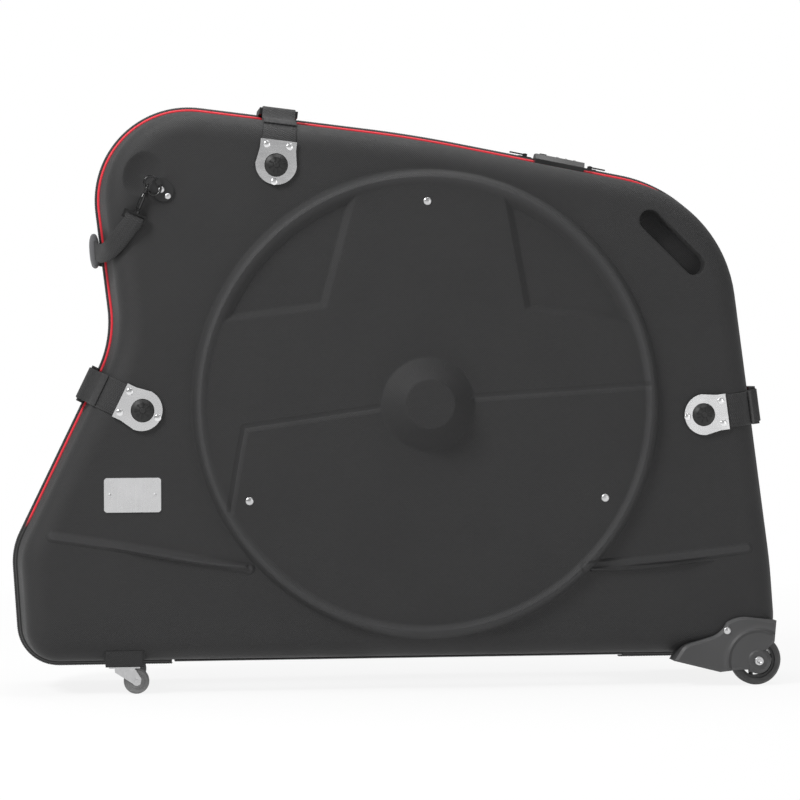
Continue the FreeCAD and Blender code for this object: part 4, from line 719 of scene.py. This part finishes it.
def skin(name, x, z, sign):
    """The place in metres where a node's outer face stands at x, z in millimetres."""
    if name not in TREES:
        TREES[name] = node_tree(name)
    start = Vector((x, -sign * 400, z)) * MM
    place = TREES[name].ray_cast(start, Vector((0, sign, 0)))[0]
    if place is None:
        raise ValueError(f"nothing of {name} stands at {x}, {z}")
    return place


def disc_rivet(angle):
    turn = math.radians(angle)
    return DISC[0] + DISC_RIVET_RADIUS * math.cos(turn), DISC[1] + DISC_RIVET_RADIUS * math.sin(turn)


DISC_RIVETS = [disc_rivet(angle) for angle in (90, 208, 332)]
SLANT = math.sqrt(0.5)
WEBBING_WIDTH = 50
WEBBING_THICK = 2.0
for hand, sign in HALVES:
    body = f"{hand}_half"
    outside = Vector((0, -sign, 0))
    bands, heads, pressed, ribs, sewn, grips = Shape(), Shape(), Shape(), Shape(), Shape(), Shape()
    for strap, reach in STRAPS.values():
        _, along, outward = strap
        line = strap_run(reach)
        centres = [on_strap(strap, 0, depth, out, sign) for depth, out in line]
        bands.ribbon(centres, [along] * len(centres), WEBBING_WIDTH * MM, WEBBING_THICK * MM)
        for across, out in ((-17, 29 - reach), (17, 29 - reach), (0, -(reach + 25))):
            rivet(pressed, on_strap(strap, across, PLATE_TOP, out, sign), sign, 5.2, 1.5)
        for row in (-46.0, -50.5):
            left, right = (on_strap(strap, a, 120.4, row, sign) for a in (-22, 22))
            stitch_row(sewn, left, right, outside)
        for spoke in range(8):
            angle = math.radians(45 * spoke + 22.5)
            direction = along * math.cos(angle) + outward * math.sin(angle)
            side = -along * math.sin(angle) + outward * math.cos(angle)
            centre = on_strap(strap, 0, 129.2, -reach, sign) + direction * 8.6 * MM
            ribs.block(centre, direction, side, outside, (10 * MM, 1.7 * MM, 2.6 * MM), 0.3)
        hub = [(4.2, 0), (4.2, 1.2), (3.6, 1.7), (1.2, 2.0)]
        ribs.turn(on_strap(strap, 0, 129.6, -reach, sign), outside, [(r * MM, h * MM) for r, h in hub])
        for step in range(5):
            depth = 7.5 + step * 3.0
            place = on_strap(strap, 0, depth, 16.4, sign)
            grips.block(place, along, Vector((0, 1, 0)), outward, (34 * MM, 1.3 * MM, 1.2 * MM), 0.25)
    for x, z in DISC_RIVETS:
        rivet(heads, skin(f"{hand}_face_pan", x, z, sign), sign, 6.2)
    for shift in (-6.8, 6.8):
        place = skin(f"{hand}_haul_plate", HAUL_PLATE[0] + shift * SLANT, HAUL_PLATE[1] - shift * SLANT, sign)
        rivet(heads, place, sign, 4.7, 2.0)
    rivet(heads, skin(f"{hand}_wheel_housing", *HOUSING_RIVET, sign), sign, 5.6)
    bands.add(f"{hand}_webbing_bands", body, "black_webbing", BAND, replaces=(f"{hand}_webbing",))
    heads.add(f"{hand}_rivet_heads", body, "zinc_steel", ZINC)
    pressed.add(f"{hand}_plate_rivets", body, "bright_steel", BRIGHT)
    ribs.add(f"{hand}_bumper_ribs", body, "black_rubber", DOME, smooth=False)
    sewn.add(f"{hand}_strap_stitches", body, "black_webbing", THREAD, smooth=False)
    grips.add(f"{hand}_buckle_grips", body, "black_plastic", BUCKLE, smooth=False)

# Haul strap: webbing from each hook into the padded grip, and the grip itself
HOOK = Vector((-382.82, 0, 749.42))
HOOK_ANGLE = math.radians(247)
GRIP_CENTRE = Vector((-458.5, 0, 662))
GRIP_OUT = Vector((math.cos(math.radians(184)), 0, math.sin(math.radians(184))))
GRIP_UP = Vector((GRIP_OUT.z, 0, -GRIP_OUT.x))
GRIP_HALF_LENGTH = 46.0
GRIP_HALF_WIDTH = 25
GRIP_HALF_THICK = 7.5
HAUL_WIDTH = 28


def hook_place(distance, depth):
    spot = HOOK + Vector((math.cos(HOOK_ANGLE), 0, math.sin(HOOK_ANGLE))) * distance
    return spot.x, depth, spot.z, 157


for hand, sign in HALVES:
    stations = [hook_place(62, 122.4), hook_place(53, 122.6), hook_place(46.6, 122.8), hook_place(44.4, 125.3)]
    stations += [hook_place(46.8, 127.9), hook_place(53.6, 127.9)]
    stations += [
        (-416.5, 123.2, 684, 146),
        (-428.5, 117.2, 669, 134),
        (-440.5, 102.2, 658, 115),
        (-450.5, 78.2, 656, 92),
        (-458.5, 44, 662, 94),
        (-458.5, 24, 662, 94),
    ]
    line = smooth_line(stations, 6)
    centres = [Vector((x, -sign * depth, z)) * MM for x, depth, z, _ in line]
    across = [Vector((math.cos(math.radians(a)), 0, math.sin(math.radians(a)))) for *_, a in line]
    haul = Shape()
    haul.ribbon(centres, across, HAUL_WIDTH * MM, WEBBING_THICK * MM)
    haul.add(f"{hand}_haul_band", f"{hand}_half", "black_webbing", BAND, replaces=(f"{hand}_haul_web",))


def make_grip():
    """A stuffed sleeve with a seam round each end and a crowned outer side."""
    rows = []
    for step in range(49):
        share = -1 + 2 * step / 48
        closing = (1 - abs(share) ** 9) ** (1 / 5) if abs(share) < 1 else 0.0
        seam = 1 - 0.07 * math.exp(-(((abs(share) - 0.84) / 0.03) ** 2))
        size = (0.62 + 0.38 * closing) * seam
        ring = []
        for k in range(44):
            angle = 2 * math.pi * k / 44
            c, s = math.cos(angle), math.sin(angle)
            high = GRIP_HALF_WIDTH * math.copysign(abs(c) ** 0.75, c) * (0.9 + 0.1 * closing)
            thick = GRIP_HALF_THICK * math.copysign(abs(s) ** 0.8, s) * size
            crumple = 0.25 * math.sin(9 * share + 3 * c) * (1 - abs(share))
            drawn_in = 0.985 if abs(share) > 0.97 else 1
            spot = GRIP_CENTRE + GRIP_UP * high * drawn_in + GRIP_OUT * (thick + crumple)
            ring.append(Vector((spot.x, share * GRIP_HALF_LENGTH, spot.z)) * MM)
        rows.append(ring)
    sleeve = Shape()
    sleeve.grid(rows)
    grip = sleeve.add("haul_grip_sleeve", "far_half", "grip_pad", GRIP, replaces=("haul_grip",))
    thread = Shape()
    for y in (-38.6, 38.6):
        for k in range(22):
            high = -22 + 44 * (k + 0.5) / 22
            fullness = (1 - (abs(high) / GRIP_HALF_WIDTH) ** 2.67) ** 0.4
            spot = GRIP_CENTRE + GRIP_UP * high + GRIP_OUT * (GRIP_HALF_THICK * 0.93 * fullness + 0.1)
            centre = Vector((spot.x, y, spot.z)) * MM
            thread.block(centre, GRIP_UP, Vector((0, 1, 0)), GRIP_OUT, (1.3 * MM, 0.6 * MM, 0.5 * MM), 0.3)
    thread.add("haul_grip_stitches", "far_half", "grip_pad", THREAD, smooth=False)


make_grip()


# Quilted divider between the frame and the second wheel
DIVIDER_DEPTH = 64
QUILT_PITCH = 130


def make_divider():
    edge = [s[0] for s in fillet_path(CORNERS, 44.0, 9.0)]
    middle = Vector((0, 430))
    rings = 46
    front, back = [], []
    for ring in range(rings + 1):
        share = ring / rings
        one, two = [], []
        for point in edge:
            spot = middle + (point - middle) * share
            rim = min(1.0, (1 - share) * (point - middle).length / 14.0)
            crown = math.sqrt(max(0.0, 1 - (1 - rim) ** 2))
            first = abs(math.sin(math.pi * (spot.x + spot.y) / QUILT_PITCH))
            second = abs(math.sin(math.pi * (spot.x - spot.y) / QUILT_PITCH))
            puff = min(1.0, 2.6 * min(first, second)) ** 0.6
            half = crown * (2.4 + 1.6 * puff)
            one.append(Vector((spot.x, DIVIDER_DEPTH - half, spot.y)) * MM)
            two.append(Vector((spot.x, DIVIDER_DEPTH + half, spot.y)) * MM)
        front.append(one)
        back.append(two)
    pad = Shape()
    pad.grid(list(reversed(front)) + back, cap=False)
    item = pad.add("quilted_divider", "far_half", "padded_cloth", LINING, replaces=("padded_divider",))
    trim = Shape()
    rows = []
    for point in edge:
        away = (point - middle).normalized()
        ring = []
        for k in range(8):
            angle = 2 * math.pi * k / 8
            spot = point - away * (1.6 - 1.6 * math.cos(angle))
            ring.append(Vector((spot.x, DIVIDER_DEPTH + 2.6 * math.sin(angle), spot.y)) * MM)
        rows.append(ring)
    trim.grid(rows, closed_rows=True)
    trim.add("divider_binding", "far_half", "padded_cloth", WEB)


make_divider()

# Flexible hinge strips from the base panel to each half
STRIP_HALF = 342
STRIP_HEIGHT = 45
for hand, sign in HALVES:
    rows = []
    places = [(44.0, 1.0), (46.5, 1.0), (47.5, 1.0), (48.4, 1.25), (49.2, 1.6), (50.0, 1.8), (50.8, 1.6)]
    places += [(51.6, 1.25), (52.5, 1.0), (54.5, 1.0)]
    for x in np.linspace(-STRIP_HALF, STRIP_HALF, 58):
        upper = [Vector((x, -sign * y, STRIP_HEIGHT + half)) * MM for y, half in places]
        lower = [Vector((x, -sign * y, STRIP_HEIGHT - half)) * MM for y, half in reversed(places)]
        rows.append(upper + lower)
    strip = Shape()
    strip.grid(rows)
    item = strip.add(f"{hand}_hinge_strip", None, "black_webbing", WEB, replaces=("base_hinge_strips",))
    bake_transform(item)

# Digits round the lock's dials
LOCK_FRAME = strap_frame(TOP_REAR, x=250.5)
DIAL_PLACES = (-3.5, 10.0, 23.5)
DIAL_DEPTH = -17
DIAL_HEIGHT = 8.1
DIAL_RADIUS = 6.6
DIGIT_RADIUS = 6.56


def make_digits():
    curve = bpy.data.curves.new("digit", "FONT")
    curve.align_x, curve.align_y = "CENTER", "CENTER"
    curve.size = 3.4
    curve.extrude = 0.0
    origin, along, outward = LOCK_FRAME
    for number, shift in enumerate(DIAL_PLACES, 1):
        verts, faces = [], []
        for digit in range(10):
            curve.body = str(digit)
            holder = bpy.data.objects.new("digit_holder", curve)
            bpy.context.scene.collection.objects.link(holder)
            bpy.context.view_layer.update()
            mesh = bpy.data.meshes.new_from_object(holder.evaluated_get(bpy.context.evaluated_depsgraph_get()))
            bpy.data.objects.remove(holder)
            turn = math.radians(36 * digit + 90)
            start = len(verts)
            for vertex in mesh.vertices:
                angle = turn + vertex.co.x / DIAL_RADIUS
                y = DIAL_DEPTH + DIGIT_RADIUS * math.cos(angle)
                out = DIAL_HEIGHT + DIGIT_RADIUS * math.sin(angle)
                spot = origin + along * (shift + vertex.co.y) + outward * out
                verts.append(Vector((spot.x, y, spot.z)) * MM)
            faces += [tuple(start + i for i in face.vertices) for face in mesh.polygons]
            bpy.data.meshes.remove(mesh)
        add_mesh(f"dial_{number}_digits", verts, faces, f"lock_dial_{number}", "lock_metal", INK, smooth=False)
    bpy.data.curves.remove(curve)


make_digits()

# Bolts along the rail, pins of the name plate and the wheels' axle heads
bolts = Shape()
profile = [(6.0, 0), (6.0, 2.2), (5.2, 3.4), (3.2, 3.6), (3.0, 1.6), (0.8, 1.5)]
for x in RAIL_BOLTS[0]:
    bolts.turn(Vector((x, 0, RAIL_BOLTS[1])) * MM, Vector((0, 0, 1)), [(r * MM, h * MM) for r, h in profile], 24)
bolts.add("rail_bolt_heads", "base", "zinc_steel", ZINC)
pins = Shape()
beside_bore = 4
for x in PIN_ROW[0]:
    place = skin("name_plate", x + beside_bore, PIN_ROW[1], 1)
    profile = [(r * 2.6 * MM, h * 1.1 * MM) for r, h in RIVET]
    pins.turn(Vector((x * MM, place.y, PIN_ROW[1] * MM)), Vector((0, -1, 0)), profile)
pins.add("name_plate_pins", "near_half", "bright_steel", ZINC)
for hand, sign in HALVES:
    head = Shape()
    place = skin(f"{hand}_wheel_axle", WHEEL_AXLE[0] + 2.5, WHEEL_AXLE[1], sign)
    centre = Vector((WHEEL_AXLE[0] * MM, place.y, WHEEL_AXLE[1] * MM))
    profile = [(6.6, -0.4), (6.6, 0.9), (5.8, 1.8), (3.4, 2.0), (3.2, 0.5), (0.8, 0.4)]
    head.turn(centre, Vector((0, -sign, 0)), [(r * MM, h * MM) for r, h in profile], 24)
    head.add(f"{hand}_axle_head", f"{hand}_half", "zinc_steel", ZINC)


# Floor, light and camera


def floor_material():
    paint = Paint("pale_floor")
    speck = paint.noise(120.0, 2.0)
    color = paint.mix(paint.ramp(speck, 0.3, 0.7), grey(0.93), grey(0.96))
    paint.finish(color, 0.85)
    tree = paint.tree
    glow = tree.nodes.new("ShaderNodeEmission")
    glow.inputs["Color"].default_value = (1, 1, 1, 1)
    glow.inputs["Strength"].default_value = 1.0
    path = tree.nodes.new("ShaderNodeLightPath")
    seen = paint.math("MAXIMUM", path.outputs["Is Camera Ray"], path.outputs["Is Glossy Ray"])
    seen = paint.math("MAXIMUM", seen, path.outputs["Is Transmission Ray"])
    mix = tree.nodes.new("ShaderNodeMixShader")
    x, y, _ = paint.split(paint.place)
    away = paint.math("SQRT", paint.products(x, x, y, y))
    share = paint.ramp(away, 0.7, 2.2, 0.86, 1.0)
    paint.link(paint.math("MULTIPLY", seen, share), mix.inputs[0])
    tree.links.new(paint.shader.outputs[0], mix.inputs[1])
    tree.links.new(glow.outputs[0], mix.inputs[2])
    tree.links.new(mix.outputs[0], paint.out.inputs[0])
    return paint.mat


def make_stage():
    half = 30.0
    verts = [(-half, -half, 0), (half, -half, 0), (half, half, 0), (-half, half, 0)]
    mesh = bpy.data.meshes.new("floor")
    mesh.from_pydata(verts, [], [(0, 1, 2, 3)])
    item = bpy.data.objects.new("floor", mesh)
    bpy.context.scene.collection.objects.link(item)
    mesh.materials.append(floor_material())


def area_light(name, place, target, size, power):
    data = bpy.data.lights.new(name, "AREA")
    data.shape = "RECTANGLE"
    data.size, data.size_y = size
    data.energy = power
    item = bpy.data.objects.new(name, data)
    item.location = place
    item.rotation_euler = (Vector(place) - Vector(target)).to_track_quat("Z", "Y").to_euler()
    bpy.context.scene.collection.objects.link(item)


def make_world():
    world = bpy.data.worlds.new("studio")
    world.use_nodes = True
    bpy.context.scene.world = world
    tree = world.node_tree
    tree.nodes.clear()
    out = tree.nodes.new("ShaderNodeOutputWorld")
    plain = tree.nodes.new("ShaderNodeBackground")
    plain.inputs["Color"].default_value = (1, 1, 1, 1)
    plain.inputs["Strength"].default_value = 0.34
    white = tree.nodes.new("ShaderNodeBackground")
    white.inputs["Color"].default_value = (1, 1, 1, 1)
    white.inputs["Strength"].default_value = 1.0
    path = tree.nodes.new("ShaderNodeLightPath")
    seen = tree.nodes.new("ShaderNodeMath")
    seen.operation = "MAXIMUM"
    tree.links.new(path.outputs["Is Camera Ray"], seen.inputs[0])
    tree.links.new(path.outputs["Is Transmission Ray"], seen.inputs[1])
    mix = tree.nodes.new("ShaderNodeMixShader")
    tree.links.new(seen.outputs[0], mix.inputs[0])
    tree.links.new(plain.outputs[0], mix.inputs[1])
    tree.links.new(white.outputs[0], mix.inputs[2])
    tree.links.new(mix.outputs[0], out.inputs[0])


def make_camera():
    azimuth, elevation, roll = (math.radians(a) for a in (-6.5, 0.7, -0.25))
    distance = 4.4
    view_width = 1.228
    sensor = 36.0
    aim = Vector((0.0065, 0, 0.434))
    level = Vector((math.sin(azimuth), -math.cos(azimuth), 0)) * math.cos(elevation)
    back = level + Vector((0, 0, math.sin(elevation)))
    right = (-back).cross(Vector((0, 0, 1))).normalized()
    up = right.cross(-back)
    right, up = right * math.cos(roll) + up * math.sin(roll), up * math.cos(roll) - right * math.sin(roll)
    data = bpy.data.cameras.new("camera")
    data.sensor_width = sensor
    data.lens = sensor * distance / view_width
    item = bpy.data.objects.new("camera", data)
    item.matrix_world = Matrix.Translation(aim + back * distance) @ Matrix((right, up, back)).transposed().to_4x4()
    bpy.context.scene.collection.objects.link(item)
    bpy.context.scene.camera = item


make_stage()
make_world()
area_light("key", (-2.3, -1.7, 3.0), (0, -0.1, 0.45), (1.1, 1.1), 95)
area_light("fill", (2.4, -3.4, 1.2), (0, 0, 0.4), (1.6, 2.2), 16)
area_light("overhead", (0.2, 0.2, 3.0), (0, 0, 0.5), (2.6, 1.2), 40)
make_camera()
bpy.context.scene.view_settings.view_transform = "Standard"
